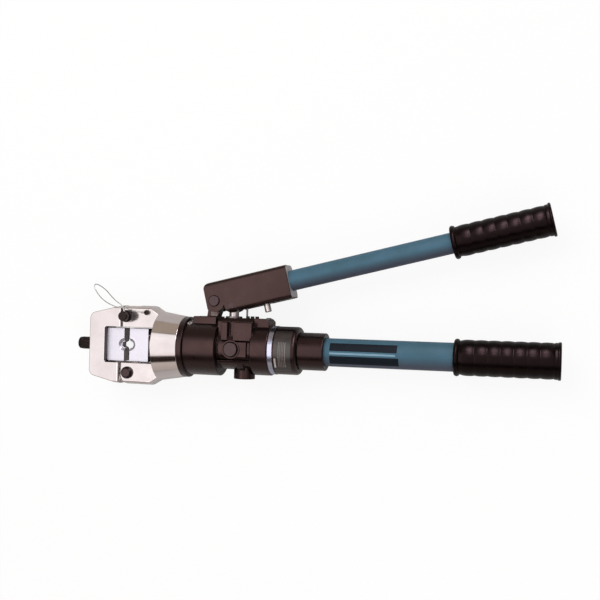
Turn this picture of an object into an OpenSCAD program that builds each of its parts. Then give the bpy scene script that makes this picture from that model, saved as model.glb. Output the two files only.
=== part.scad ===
// Hydraulic crimping tool with a latched head, a hand pump and two handles.
// The tool lies on its side: X runs from the nose to the handle end, Y points
// to the pump lever and Z points up. Lengths along X start at the seam where
// the crimping head meets the pump body, and the tool's axis is Y = Z = 0.

/* [Head] */
// Radius of the turned blank of the head
head_blank_r = 49.5; // [48.5:0.5:52]
// Thickness between the two flats of the head
head_t = 34; // [31:1:38]
// Length of the round neck behind the arms
neck_len = 31.5; // [30.5:0.5:34]
// Radius of the neck at its front shoulder
neck_rim_r = 43; // [41:0.5:45]
// Radius of the neck at the seam
neck_seam_r = 37.8; // [37.5:0.1:39]
// Length over which the arms taper down to the neck
arm_taper_len = 11; // [8:1:14]
// Half height of the die window
window_half = 22.2; // [21.8:0.1:22.8]
// Wall between the pin hole and the end of the upper arm
arm_wall_top = 0.9; // [0.7:0.1:1.5]
// Wall between the pin hole and the end of the lower arm
arm_wall_low = 2.9; // [2:0.1:4]
// Radius of the lower arm's outer corner
arm_corner_r = 12; // [6:1:14]
// Gap between the arms and the latch yoke
split_gap = 2.2; // [1:0.1:2.6]

/* [Latch yoke] */
// Thickness of the yoke's nose wall
nose_wall = 20.6; // [20:0.2:24]
// Drop from the blank's radius to the end of the flat nose face
nose_drop = 17.5; // [15.5:0.5:19.5]
// Radius of the nose corners
nose_round = 8.5; // [6:0.5:10]
// Slope of the cheeks behind the nose corners
cheek_deg = 14; // [10:0.5:18]
// Thickness of the yoke's tongues
tongue_t = 16; // [14:1:18]
// Wall of the tongues around the pins
tongue_wall = 4.4; // [3.5:0.1:5]
// Length of a tongue's root inside the yoke
tongue_root = 4; // [2:0.5:6]

/* [Pins] */
// Distance of the pins ahead of the seam
pin_back = 71.5; // [70:0.1:72.5]
// Shift of the pins from the middle of the arms' flats, away from the window
pin_shift = 0.15; // [0:0.05:0.4]
// Shift of the latch pin further outwards than the hinge pin
latch_out = 1.6; // [1:0.1:1.8]
// Radius of the hinge pin and the latch pin
pin_r = 7; // [6:0.1:7.2]
// Rim of the pin heads around the pins
pin_rim = 0.6; // [0.4:0.1:2]
// Height of the hinge pin's head
hinge_head_h = 5; // [3:0.5:7]
// Height of the straight part of the hinge pin's head
hinge_band_h = 2.4; // [1:0.1:2.8]
// Slope around the flat on top of the hinge pin's head
hinge_slope = 2.6; // [1:0.1:3]
// Height of the latch pin's base
latch_base_h = 9; // [8.5:0.1:9.2]
// Height of the latch pin's knob above the groove
latch_knob_h = 8; // [5:0.5:10]
// Radius of the latch pin's knob
latch_knob_r = 5.8; // [5.5:0.1:7]
// Radius of the wire groove in the latch pin
latch_groove_r = 4; // [3:0.1:4.4]
// Height of the wire groove in the latch pin
latch_groove_h = 2.4; // [2.3:0.1:3]

/* [Dies] */
// Distance of the fixed die's seat ahead of the seam
die_seat = 103.4; // [103:0.1:105]
// Length of a die along the ram axis
die_len = 23.4; // [22:0.1:24]
// Gap between a die and each side of its window
die_side_gap = 1.4; // [0.9:0.1:2]
// Thickness of a die
die_t = 18; // [15:0.5:22]
// Length of a die's foot
foot_len = 6; // [5:0.1:6.4]
// Length of the moving die beyond the fixed one
moving_extra = 2; // [0:0.1:3]
// Round in the corners of the die seat
seat_round = 2.4; // [1.5:0.1:3]
// Step from a die's side to the side of its foot
foot_step = 8.8; // [7:0.1:11]
// Open gap between the two dies
die_gap = 7.1; // [7:0.1:8]
// Corner radius of the hexagonal crimp
hex_r = 4.2; // [3:0.1:5]
// Radius of the bell mouth around the crimp
mouth_r = 7.7; // [7:0.1:9]
// Depth of the bell mouth
mouth_depth = 3; // [1:0.5:5]

/* [Die knob] */
// Radius of the die release knob
knob_r = 7.5; // [7:0.1:8.5]
// Length of the knob outside the nose
knob_len = 20.5; // [16:0.5:24]
// Rounding of the knob's outer end
knob_round = 2; // [1:0.5:3]
// Radius of the knob's pin
knob_pin_r = 3; // [2.5:0.1:3.4]
// Depth that the knob's pin enters the die foot
knob_pin_reach = 3; // [2:0.1:3.2]
// Radius of the spring chamber in the nose wall
knob_chamber_r = 6; // [5.6:0.1:6.8]
// Wall between the spring chamber and the die foot
knob_web = 4; // [3:0.1:4.2]
// Length of the bush that closes the spring chamber
knob_bush_len = 3; // [2.5:0.1:3.2]
// Thickness of the spring flange on the knob's pin
knob_flange_t = 1.5; // [1:0.1:1.7]
// Wire diameter of the knob's spring
knob_wire_d = 0.8; // [0.6:0.1:0.9]

/* [Ram] */
// Radius of the ram rod
ram_r = 20; // [18.5:0.5:20.5]
// Radius of the piston
piston_r = 25; // [24.8:0.1:25.5]
// Distance of the piston's front behind the seam
piston_front = 12; // [10:0.5:13]
// Length of the piston
piston_len = 12; // [10:0.5:12.5]
// Depth of the cross slot that holds the die foot
ram_slot = 3; // [2:0.5:4]
// Length of the neck's front wall
neck_wall = 10; // [9.5:0.5:11.5]
// Wire diameter of the return spring
ram_wire_d = 2.4; // [1.8:0.1:2.6]
// Radius of the bronze guide bush
guide_r = 22.5; // [22:0.1:23.5]
// Width of the wiper ring
wiper_w = 3; // [2:0.5:4]
// Width of the piston seal
seal_w = 2.4; // [2:0.1:3]
// Width of the backup ring
backup_w = 1.4; // [1:0.1:2]
// Depth of the seal groove
seal_depth = 3.4; // [2.5:0.1:4]
// Section diameter of the head's O-ring
oring_d = 2.4; // [1.8:0.1:2.8]

/* [Pump body] */
// Radius of the front lip
lip_r = 37.5; // [36.5:0.1:37.7]
// Length of the front lip
lip_len = 6.5; // [5:0.5:7]
// Radius of the collar
collar_r = 34; // [33.5:0.1:35.5]
// Length of the collar with its lip
collar_len = 48; // [47:0.5:49]
// Edge chamfer of the collar and the rear cylinder
rim_chamfer = 1.2; // [1:0.1:1.4]
// Radius of the head's threaded spigot
spigot_r = 31; // [30.5:0.1:31.5]
// Length of the head's threaded spigot
spigot_len = 25.5; // [25:0.1:27]
// Length of the oil chamber behind the piston
chamber_gap = 2.5; // [1.5:0.1:3]
// Half width of the saddle on the collar
saddle_half = 16; // [13:0.5:17]
// Height of the saddle's top above the axis
saddle_top = 38.8; // [38.2:0.1:39.6]
// Gap from the lip to the saddle
saddle_gap = 7.6; // [7.4:0.1:9]
// Gap from the saddle to the pump block
saddle_end = 4; // [3:0.5:5]
// Radius of the lever lug's round top
lug_r = 9.5; // [9:0.1:10]
// Width of the lever lug
lug_w = 14; // [12:0.1:14.2]
// Reach of the lug's foot ahead of the pivot
lug_foot = 12; // [10:0.5:13]
// Length of the pump block
block_len = 43; // [42:0.5:44]
// Radius of the waist between the collar and the rear cylinder
waist_r = 25.5; // [25.2:0.1:26.5]
// Radius of the side plug's seat and of the ribs' reach
block_r = 29.8; // [29:0.1:31]
// Half width of the pump block between its pads
web_half = 19.5; // [18:0.5:21]
// Half width of the pump block
block_half = 26; // [25:0.1:27]
// Height of the pump block's top above the axis
block_top = 37.6; // [37:0.1:38]
// Chamfer along the pump block's top edges
block_chamfer = 4; // [2:0.5:6]
// Height of the flat pads on the block's sides
pad_h = 22; // [16:1:22]
// Thickness of the side pads
pad_t = 1.2; // [0.6:0.1:2]
// Width of the groove between the side pads
pad_groove = 7.1; // [5:0.1:8]
// Distance of the pad groove behind the collar
pad_groove_x = 14.3; // [12:0.1:16]
// Distance of the first side pad behind the collar
pad_margin = 5.8; // [4:0.1:7]
// Reach of the second side pad over the rear cylinder
pad_over = 2; // [1.6:0.1:3]
// Wall around the side plug
plug_wall = 2.4; // [1.6:0.1:3]
// Step from the ribs' reach down to the side plug's wall
plug_step = 1.8; // [1:0.1:2.4]
// Length of the ear beside the side plug
ear_len = 19.7; // [17:0.1:21]
// Half height of the ear beside the side plug
ear_half = 9; // [7:0.1:10]
// Drop of the long rib below the axis
rib_drop = 15.7; // [14.5:0.1:17]
// Thickness of the long rib
rib_t = 3; // [2:0.1:4]
// Step from the side plug's seat down to the ribs
rib_step = 1.2; // [0.6:0.1:2]
// Width of the short rib on the bottom boss
gusset_w = 7.8; // [6:0.1:9]
// Radius of the rear cylinder
rear_r = 31.3; // [30.5:0.1:32]
// Length of the rear cylinder
rear_len = 22.5; // [22:0.5:25]
// Radius of the bottom boss
boss_r = 13; // [12:0.5:14]
// Distance of the bottom boss behind the collar
boss_x = 29; // [27:0.5:30]
// Drop of the bottom boss below the axis
boss_drop = 36.7; // [36:0.1:38]
// Half width of the release nose
valve_half = 15; // [14.5:0.1:17]
// Length of the release nose's flat top behind the block
valve_flat = 16.5; // [15:0.5:18]
// Drop of the release nose's sloping end
valve_drop = 3.4; // [2:0.1:5]
// Radius of the head's set screw
set_screw_r = 3; // [2.5:0.1:3.5]
// Distance of the set screw behind the seam
set_screw_x = 10.7; // [10.5:0.1:10.8]
// Lean of the set screw towards the upper side
set_screw_deg = 32; // [30:1:40]
// Height of the set screw above the collar
set_screw_rise = 1.4; // [0.5:0.1:2]

/* [Reservoir end] */
// Radius of the silver band
band_r = 29.7; // [29.5:0.1:31]
// Width of the silver band
band_w = 5.6; // [4:0.1:8]
// Radius of the reservoir collar
res_r = 29.2; // [28.5:0.1:29.6]
// Length of the reservoir collar
res_len = 28.8; // [27:0.2:34]
// Rounding of the reservoir collar's end
res_round = 4; // [2:0.5:6]
// Length of the label on the collar
label_len = 21; // [16:0.5:22]
// Distance of the label from the silver band
label_gap = 2; // [1:0.5:3]
// Thickness of the label
label_t = 0.25; // [0.2:0.05:0.4]
// Angle that the label covers
label_deg = 110; // [60:5:150]
// Radius of the handle socket
socket_r = 22.7; // [22:0.1:24]
// Length of the handle socket
socket_len = 32; // [28:0.5:38]
// Wall at the bottom of the handle socket
socket_web = 3; // [2:0.5:5]

/* [Fixed handle] */
// Radius of the fixed handle tube
tube_r = 17; // [16.5:0.1:18]
// Wall of the fixed handle tube
tube_wall = 2; // [1.5:0.1:2.5]
// Length of the tube seen between socket and grip
tube_seen = 153.5; // [140:0.5:180]
// Length of the fixed handle's grip
grip_len = 121.5; // [115:0.5:130]
// Radius of the grip's end flanges
grip_flange_r = 22; // [21.5:0.1:24]
// Radius of the grip over its swells
grip_swell_r = 21.2; // [20.6:0.1:21.8]
// Depth of the hollows between the swells of both grips
grip_hollow = 1; // [0.5:0.1:1.5]
// Width of the end flanges of both grips
grip_flange_w = 6; // [4:0.5:9]
// Wall that closes the end of both grips
grip_end_wall = 3; // [2:0.5:5]
// Number of swells along each grip
grip_swells = 7; // [5:1:9]
// Edge chamfer of both grips
grip_chamfer = 1; // [0.5:0.1:1.5]
// Thickness of the plugs in the tube ends
plug_t = 6; // [4:0.5:10]
// Radius of the oil bladder
bladder_r = 13.6; // [12:0.1:14]
// Length of the oil bladder
bladder_len = 150; // [120:1:160]
// Wall of the oil bladder
bladder_wall = 1.6; // [1.2:0.1:2]
// Length of the bladder's neck
bladder_neck = 12; // [10:0.5:14]
// Radius of the oil pipe that carries the bladder
pipe_r = 6; // [5:0.1:7]
// Wall of the oil pipe
pipe_wall = 1.5; // [1:0.1:2]
// Depth of the oil pipe in the pump body
pipe_depth = 8; // [6:0.5:9]

/* [Pump lever] */
// Distance of the lever pivot behind the seam
pivot_x = 40.5; // [40:0.1:41]
// Height of the lever pivot above the axis
pivot_y = 58; // [57.5:0.1:58.5]
// Angle of the lever at rest
lever_deg = 14; // [13.5:0.1:15]
// Angle that the lever opens from rest
lever_open_deg = 40; // [20:1:40]
// Angle that the lever closes from rest
lever_close_deg = 6.5; // [5:0.1:6.8]
// Radius of the pivot pin
pivot_r = 5; // [4:0.1:5.5]
// Radius of the pivot pin's head
pivot_head_r = 7; // [6.5:0.1:8]
// Height of the pivot pin's head
pivot_head_h = 2; // [1:0.1:3]
// Length of the bracket ahead of the pivot
bracket_front = 10.5; // [10:0.5:12]
// Length of the bracket behind the pivot
bracket_rear = 97; // [92:0.5:110]
// Height of the bracket above the pivot
bracket_up = 23.5; // [22:0.5:26]
// Depth of the bracket below the pivot
bracket_down = 17.5; // [17:0.1:18]
// Width of the bracket
bracket_w = 32; // [30:0.5:36]
// Depth of the cheeks between the pivot and the plunger pin
arch_down = 8.5; // [7.5:0.1:9.5]
// Radius of the cheeks around the pivot
pivot_boss_r = 13.4; // [12:0.1:14]
// Radius of the cheeks around the plunger pin
lobe_r = 8.8; // [8:0.1:9]
// Rounding of the bracket's front upper corner
bracket_corner = 7.5; // [4:0.5:9]
// Rounding of the bracket's lower edges
bracket_low_round = 7; // [4:0.5:8]
// Rounding of the bracket's upper edges
bracket_top_round = 5.5; // [4:0.5:7]
// Width of the slot between the bracket's cheeks
fork_w = 14.6; // [14.5:0.1:16]
// Length of the fork slot behind the pivot
fork_len = 32; // [31:0.5:33]
// Height of the fork slot above the pivot
fork_up = 14; // [12:0.5:15]
// Length of the pocket for the stop pin
stop_pocket_len = 12; // [11:0.5:14]
// Depth of the stop pocket's roof below the pivot
stop_roof = 9.4; // [8.5:0.1:9.6]
// Width of the stop pocket
stop_pocket_w = 8; // [5:0.5:10]
// Height of the lever tube's axis above the pivot
lever_tube_v = 3.75; // [3.5:0.05:4.5]
// Radius of the lever tube
lever_tube_r = 12.5; // [12:0.1:12.8]
// Wall of the lever tube
lever_tube_wall = 1.8; // [1.5:0.1:2.5]
// Length of the lever from the pivot to the grip's end
lever_len = 415; // [400:1:425]
// Length of the lever's grip
lever_grip_len = 118; // [110:0.5:125]
// Radius of the lever grip's flanges
lever_flange_r = 20; // [19.5:0.1:22]
// Radius of the lever grip over its swells
lever_swell_r = 18.5; // [18:0.1:19.5]
// Length of the plug that carries the release peg
lever_plug_len = 26; // [24:0.5:32]
// Distance of the release peg behind the pivot
peg_u = 60.5; // [59:0.5:62]
// Radius of the release peg
peg_r = 4; // [3.5:0.1:4.4]
// Length of the peg below the bracket
peg_drop = 9.7; // [9:0.1:10]
// Reach of the peg above the lever tube's axis
peg_root = 5; // [3:0.5:7]
// Largest twist of the lever tube
twist_deg = 17; // [16:0.5:18]

/* [Pump] */
// Radius of the pump plunger
plunger_r = 6; // [5:0.1:6.4]
// Length of the plunger below its eye
plunger_len = 33; // [30:0.5:35]
// Depth of the pump bore below the block's top
pump_bore_depth = 22; // [21:0.5:23]
// Distance of the plunger pin behind the pivot, along the lever
link_u = 20; // [19:0.5:20.5]
// Drop of the plunger pin below the pivot, across the lever
link_v = 10; // [9.5:0.1:10.5]
// Radius of the plunger pin
link_r = 3.5; // [3:0.1:3.8]
// Radius of the plunger's eye
eye_r = 7.4; // [7.2:0.1:7.8]
// Width of the plunger's eye
eye_w = 12; // [10:0.5:13]
// Sideways play of the pin in the plunger's eye
eye_play = 1.5; // [1.4:0.1:1.8]
// Radius of the plunger gland
gland_r = 9; // [8.5:0.1:9.5]
// Height of the gland's rim above the block
gland_rim_h = 2; // [1:0.1:2.4]
// Overhang of the gland's rim
gland_rim_w = 1.2; // [0.6:0.1:1.6]
// Depth of the gland in the block
gland_depth = 10; // [8:0.5:11]
// Width of the plunger seal
plunger_seal_w = 3; // [2:0.5:4]
// Radius of the side plug
side_plug_r = 8.9; // [8.5:0.1:9.5]
// Distance of the side plug behind the collar
side_plug_x = 19; // [17:0.5:21]
// Depth of the side plug in the block
side_plug_depth = 8; // [6:0.5:8.5]
// Height of the side plug above the block's round belly
side_plug_rise = 0.6; // [0.3:0.1:2]
// Radius of the bottom plug
bottom_plug_r = 9; // [8.5:0.1:10]
// Length of the bottom plug
bottom_plug_len = 10; // [8:0.5:11]
// Corner radius of the hexagonal sockets in plugs
plug_hex_r = 4.5; // [3.5:0.1:5]
// Depth of the hexagonal sockets in plugs
plug_hex_depth = 4; // [3:0.5:5]
// Radius of the valve chambers
valve_bore_r = 5; // [4.6:0.1:5.4]
// Length of the valve chambers
valve_bore_len = 12; // [11.5:0.1:12.5]
// Radius of the valve balls
ball_r = 3.5; // [3:0.1:4]
// Wire diameter of the valve springs
valve_wire_d = 1; // [0.8:0.1:1.1]
// Radius of the release stem
stem_r = 3.5; // [3.2:0.1:3.8]
// Length of the release stem
stem_len = 16; // [15:0.5:17]
// Length of the release spring
stem_spring_len = 6.5; // [6:0.1:7]
// Outer radius of the release gland
stem_gland_r = 5; // [4.8:0.1:5.2]
// Length of the release gland
stem_gland_len = 5; // [4:0.5:6]
// Height of the small screw heads on the block
top_screw_h = 2.8; // [2:0.1:3]
// Radius of the small screw heads on the block
top_screw_r = 2.3; // [2:0.1:2.5]
// Radius of the small screws' shanks
top_shank_r = 1.5; // [1:0.1:1.8]
// Length of the small screws' shanks
top_shank_len = 7; // [5:0.5:9]
// Distance of the first small screw behind the collar
top_screw_x = 34; // [33:0.5:34.5]
// Spacing of the small screws
top_screw_pitch = 5.9; // [5.4:0.1:6]
// Distance of the small screws from the middle
top_screw_z = 8; // [7:0.5:10]
// Distance of the stop pin behind the collar
stop_x = 30.4; // [30:0.1:31]
// Radius of the stop pin
stop_r = 1.2; // [1:0.1:1.5]
// Height of the stop pin above the block
stop_h = 15; // [14:0.1:15.2]
// Depth of the stop pin in the block
stop_depth = 6; // [4:0.5:8]

/* [Lanyard] */
// Diameter of the lanyard wire
wire_d = 1.2; // [1:0.1:1.3]
// Radius of the crimped sleeves at the wire's ends
sleeve_r = 1.1; // [0.9:0.05:1.1]
// Wall of the lanyard's eye
eye_wall = 1.4; // [1.2:0.1:1.6]
// Height of the lanyard's eye
eye_h = 1.6; // [1.2:0.1:2]
// Distance of the lanyard screw ahead of the seam
lanyard_screw_x = 46.5; // [46:0.1:47]
// Distance of the lanyard screw outwards from the latch pin
lanyard_rise = 6.7; // [6.5:0.1:6.9]
// Radius of the lanyard screw's head
lanyard_screw_r = 3.2; // [2.8:0.1:3.4]
// Height of the lanyard screw's head
lanyard_screw_h = 2.4; // [2:0.1:3]
// Radius of the lanyard screw's shank
lanyard_shank_r = 1.5; // [1.2:0.1:1.8]
// Length of the lanyard screw's shank
lanyard_shank_len = 7; // [5:0.5:9]
// Radius of the tab under the lanyard screw
tab_r = 4.2; // [4:0.1:4.6]
// Thickness of the tab under the lanyard screw
tab_t = 0.9; // [0.8:0.1:1]

/* [Hidden] */
$fn = 64;

// Clearances and small sizes that several pieces share
run_gap = 0.05;
seat_gap = 0.02;
clear_gap = 0.3;
overrun = 1;
clip_t = 1.2;
clip_w = 2.2;
clip_inset = 1;
edge_chamfer = 0.8;
port_r = 1.5;
coil_steps = 8;
coil_sides = 6;
wire_sides = 8;
arc_steps = 6;
swell_steps = 6;
route_steps = 4;
ram_coils = 5;
knob_coils = 2.5;
valve_coils = 2.5;

// Places along X, measured from the seam
head_half = head_t/2;
die_half = die_t/2;
pin_x = -pin_back;
flat_half = sqrt(pow(head_blank_r, 2) - pow(head_half, 2));
pin_y = (window_half + flat_half)/2 + pin_shift;
latch_y = pin_y + latch_out;
pin_head_r = pin_r + pin_rim;
hinge_flat_r = pin_head_r - hinge_slope;
tongue_r = pin_r + tongue_wall;
arm_end_top = pin_r + arm_wall_top;
arm_end_low = pin_r + arm_wall_low;
nose_half = head_blank_r - nose_drop;
die_h = 2*(window_half - die_side_gap);
foot_h = die_h - 2*foot_step;
lanyard_screw_y = pin_y + lanyard_rise;
arm_top_x = pin_x - arm_end_top;
arm_low_x = pin_x - arm_end_low;
yoke_top_x = arm_top_x - split_gap;
yoke_low_x = arm_low_x - split_gap;
seat_x = -die_seat;
foot_seat_x = seat_x - foot_len;
nose_x = seat_x - nose_wall;
fixed_face_x = seat_x + die_len;
moving_face_x = fixed_face_x + die_gap;
foot_end_x = moving_face_x + die_len + moving_extra + foot_len;
ram_face_x = foot_end_x + run_gap - ram_slot;
neck_x = -neck_len;
neck_wall_x = neck_x + neck_wall;
piston_end = piston_front + piston_len;
seal_x = piston_front + (piston_len - seal_w - backup_w)/2;
backup_x = seal_x + seal_w;
groove_end = backup_x + backup_w;
seal_floor_r = piston_r - seal_depth;
oring_x = spigot_len/2;
head_socket_len = spigot_len + clear_gap;
chamber_x = head_socket_len + chamber_gap;
block_x = collar_len;
rear_x = block_x + block_len;
band_x = rear_x + rear_len;
res_x = band_x + band_w;
socket_x = res_x + res_len;
web_x = socket_x + socket_web;
tube_x = socket_x + socket_len;
grip_x = tube_x + tube_seen;
grip_end = grip_x + grip_len;
tube_end = grip_end - grip_end_wall - seat_gap;
pipe_end = web_x + bladder_neck;
bladder_end = web_x + bladder_len;

// Nose outline: a round corner that runs into the sloping cheek
corner_end_deg = 90 + cheek_deg;
cheek_x = nose_x + nose_round*(1 + cos(corner_end_deg));
cheek_y = nose_half + nose_round*sin(corner_end_deg);

// Spring chamber of the die knob
knob_chamber_len = nose_wall - foot_len - knob_web;
knob_flange_end = nose_x + knob_chamber_len - clear_gap;
knob_flange_x = knob_flange_end - knob_flange_t;
knob_face_x = nose_x - clear_gap;
knob_tip_x = foot_seat_x + knob_pin_reach;

// Lever: the plunger pin swings about the pivot, u runs along the lever, v across it
link_arm = norm([link_u, link_v]);
link_rest_deg = lever_deg - atan2(link_v, link_u);
plunger_x = pivot_x + link_arm*(1 + cos(link_rest_deg + lever_open_deg))/2;
link_y = pivot_y + link_arm*sin(link_rest_deg);
plunger_low = link_y - plunger_len;
bracket_half = bracket_w/2;
lobe_low = link_v + lobe_r;
lever_tube_u = fork_len + stop_pocket_len + clear_gap;
lever_tube_end = lever_len - grip_end_wall - seat_gap;
lever_bore_r = lever_tube_r - lever_tube_wall;
peg_tip_v = -bracket_down - peg_drop;
peg_radius = lever_tube_v - peg_tip_v;
peg_sweep = peg_radius*sin(twist_deg) + peg_r;

// Closed and twisted, the peg stands over the release stem
closed_deg = lever_deg - lever_close_deg;
twisted_v = lever_tube_v - peg_radius*cos(twist_deg);
stem_x = pivot_x + peg_u*cos(closed_deg) - twisted_v*sin(closed_deg);
stem_top = pivot_y + peg_u*sin(closed_deg) + twisted_v*cos(closed_deg) - peg_r*sin(twist_deg) - clear_gap;
stem_z = -peg_radius*sin(twist_deg);
stem_low = stem_top - stem_len;
stem_ball_r = stem_r - clear_gap;
stem_floor = stem_low - stem_spring_len - 2*stem_ball_r;

// Valve chambers behind the side plug and the bottom plug
side_floor = block_half - side_plug_depth - valve_bore_len;
bottom_floor = -boss_drop + bottom_plug_len + valve_bore_len;
valve_spring_len = valve_bore_len - 2*ball_r;

// Heights on the latch pin
latch_base_z = head_half + run_gap;
latch_groove_z = latch_base_z + latch_base_h;
latch_knob_z = latch_groove_z + latch_groove_h;
latch_top_z = latch_knob_z + latch_knob_h;

// Route of the lanyard wire: bends from the latch pin's eye, then bends to the screw's tab
lanyard_bends = [[-3, 11, 10.25], [-6.3, 14.3, 10], [-13.8, 18.9, 9], [-21.9, 24.7, 5.5], [-31, 31.5, 0.5],
                 [-41.5, 37.1, -4], [-48.5, 38.9, -6], [-50.8, 35.9, -6.5], [-47, 29.4, -5.5],
                 [-39.5, 22.4, -2.5], [-30.5, 16.9, 0.8], [-20.5, 12.7, 3], [-12.5, 10.7, 2.5]];
tab_bends = [[-27.5, 4.3, 1.7], [-16.5, 1.3, 1.3], [-7.5, 0, 1.2]];
lanyard_route = concat(
    [for (bend = lanyard_bends) bend + [pin_x, latch_y, head_half]],
    [for (bend = tab_bends) bend + [-lanyard_screw_x, lanyard_screw_y, head_half]]);
wire_start = lanyard_route[0];
wire_end = lanyard_route[len(lanyard_route) - 1];
eye_deg = atan2(wire_start[1] - latch_y, wire_start[0] - pin_x);
eye_reach = norm([wire_start[0] - pin_x, wire_start[1] - latch_y]) - clear_gap;
eye_outer_r = latch_groove_r + eye_wall;
tab_x = wire_end[0] + clear_gap;

// Origin under the middle of the part, on the surface that it lies on
x_min = knob_face_x - knob_len;
x_max = grip_end;
y_min = -head_blank_r;
lever_top_u = lever_len - grip_chamfer;
y_max = pivot_y + lever_top_u*sin(lever_deg) + (lever_tube_v + lever_flange_r)*cos(lever_deg);
module place() {
    translate([-(x_min + x_max)/2, -(y_min + y_max)/2, neck_rim_r]) children();
}

// Shared shapes
function arc(cx, cy, r, a0, a1) =
    [for (i = [0:arc_steps]) let (a = a0 + (a1 - a0)*i/arc_steps) [cx + r*cos(a), cy + r*sin(a)]];

function unit(v) = v/norm(v);

// Points of a coil that climbs along +Z
function coil(r, length, turns) =
    let (count = ceil(turns*coil_steps))
    [for (i = [0:count]) let (a = 360*turns*i/count) [r*cos(a), r*sin(a), length*i/count]];

// Smallest gap between the turns of a coil
function coil_gap(path, wire_r) =
    min([for (i = [0:len(path) - coil_steps]) for (j = [i + coil_steps - 1:len(path) - 1])
        norm(path[i] - path[j])]) - 2*wire_r;

// Point at share t of the smooth curve from b to c
function smooth(a, b, c, d, t) =
    (2*b + (c - a)*t + (2*a - 5*b + 4*c - d)*t*t + (3*b - a - 3*c + d)*t*t*t)/2;

function smooth_route(route) = concat(
    [for (i = [0:len(route) - 2]) for (s = [0:route_steps - 1])
        smooth(route[max(i - 1, 0)], route[i], route[i + 1],
               route[min(i + 2, len(route) - 1)], s/route_steps)],
    [wire_end]);

function heading(path, i) = unit(path[min(i + 1, len(path) - 1)] - path[max(i - 1, 0)]);

// A round wire along a path, as one closed mesh
module sweep(path, r, sides, up) {
    points = [for (i = [0:len(path) - 1])
        let (t = heading(path, i), side = unit(cross(t, up)), rise = cross(side, t))
        for (k = [0:sides - 1]) path[i] + r*(cos(360*k/sides)*side + sin(360*k/sides)*rise)];
    last = (len(path) - 1)*sides;
    walls = [for (i = [0:len(path) - 2]) for (k = [0:sides - 1])
        let (a = i*sides + k, b = i*sides + (k + 1)%sides)
        each [[a, b, a + sides], [b, b + sides, a + sides]]];
    caps = [for (k = [1:sides - 2]) each [[0, k + 1, k], [last, last + k, last + k + 1]]];
    polyhedron(points, concat(walls, caps));
}

// A coil spring that stands on the origin along +Z, with room for the wire at both ends
module spring(mid_r, length, wire_d, turns) {
    path = coil(mid_r, length - wire_d, turns);
    echo(spring_gap = coil_gap(path, wire_d/2));
    translate([0, 0, wire_d/2]) sweep(path, wire_d/2, coil_sides, [0, 0, 1]);
}

// Turned shape about the X axis from points of radius and place
module turned(points) {
    rotate([0, 90, 0]) rotate_extrude() polygon(points);
}

module rod_x(x0, x1, r) {
    translate([x0, 0, 0]) rotate([0, 90, 0]) cylinder(r = r, h = x1 - x0);
}

module ring_x(x0, x1, r_out, r_in) {
    turned([[r_in, x0], [r_out, x0], [r_out, x1], [r_in, x1]]);
}

// Round bar along Y, from y0 up to y1
module rod_y(x, z, y0, y1, r) {
    translate([x, y0, z]) rotate([-90, 0, 0]) cylinder(r = r, h = y1 - y0);
}

module rod_z(x, y, z0, z1, r) {
    translate([x, y, z0]) cylinder(r = r, h = z1 - z0);
}

// Box between two corners
module box(a, b) {
    translate(a) cube(b - a);
}

// Box through the whole thickness of the head
module head_cut(x0, x1, y0, y1) {
    box([x0, y0, -head_blank_r], [x1, y1, head_blank_r]);
}

module on_lever() {
    place() translate([pivot_x, pivot_y, 0]) rotate([0, 0, lever_deg]) children();
}

module on_lever_tube() {
    on_lever() translate([0, lever_tube_v, 0]) children();
}

// Open clip ring about the Z axis
module clip(inner_r, outer_r) {
    difference() {
        cylinder(r = outer_r, h = clip_t);
        translate([0, 0, -overrun]) cylinder(r = inner_r, h = clip_t + 2*overrun);
        translate([0, -clip_w/2, -overrun]) cube([outer_r + overrun, clip_w, clip_t + 2*overrun]);
    }
}

// Ribbed grip about the X axis: two flanges, and swells between them
module grip(x0, x1, bore_r, flange_r, swell_r) {
    first = x0 + grip_flange_w;
    span = x1 - x0 - 2*grip_flange_w;
    count = grip_swells*swell_steps;
    swells = [for (i = [0:count])
        [swell_r - grip_hollow*(1 + cos(360*i/swell_steps))/2, first + span*i/count]];
    turned(concat(
        [[bore_r, x0], [flange_r - grip_chamfer, x0], [flange_r, x0 + grip_chamfer], [flange_r, first]],
        swells,
        [[flange_r, x1 - grip_flange_w], [flange_r, x1 - grip_chamfer], [flange_r - grip_chamfer, x1],
         [0, x1], [0, x1 - grip_end_wall], [bore_r, x1 - grip_end_wall]]));
}

// What a round leaves of the two corners at the die seat
module seat_corners(half) {
    for (s = [-1, 1]) translate([seat_x, s*half, 0]) mirror([0, s > 0 ? 1 : 0, 0])
        linear_extrude(2*head_half, center = true) difference() {
            translate([-overrun, -overrun]) square(seat_round + overrun);
            translate([seat_round, seat_round]) circle(seat_round);
        }
}

// Die with its crimping face at the origin and its foot towards -X
module die_shape(back) {
    difference() {
        union() {
            box([-back, -die_h/2, -die_half], [0, die_h/2, die_half]);
            box([-back - foot_len, -foot_h/2, -die_half], [-back, foot_h/2, die_half]);
        }
        rotate([0, 0, 90]) cylinder(r = hex_r, h = die_t + 2*overrun, center = true, $fn = 6);
        for (s = [-1, 1]) rotate([s < 0 ? 180 : 0, 0, 0])
            translate([0, 0, die_half - mouth_depth])
                cylinder(r1 = mouth_r - mouth_depth, r2 = mouth_r, h = mouth_depth);
        rod_x(-back - foot_len - overrun, -back - foot_len + knob_pin_reach + clear_gap,
              knob_pin_r + run_gap);
    }
}

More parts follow.
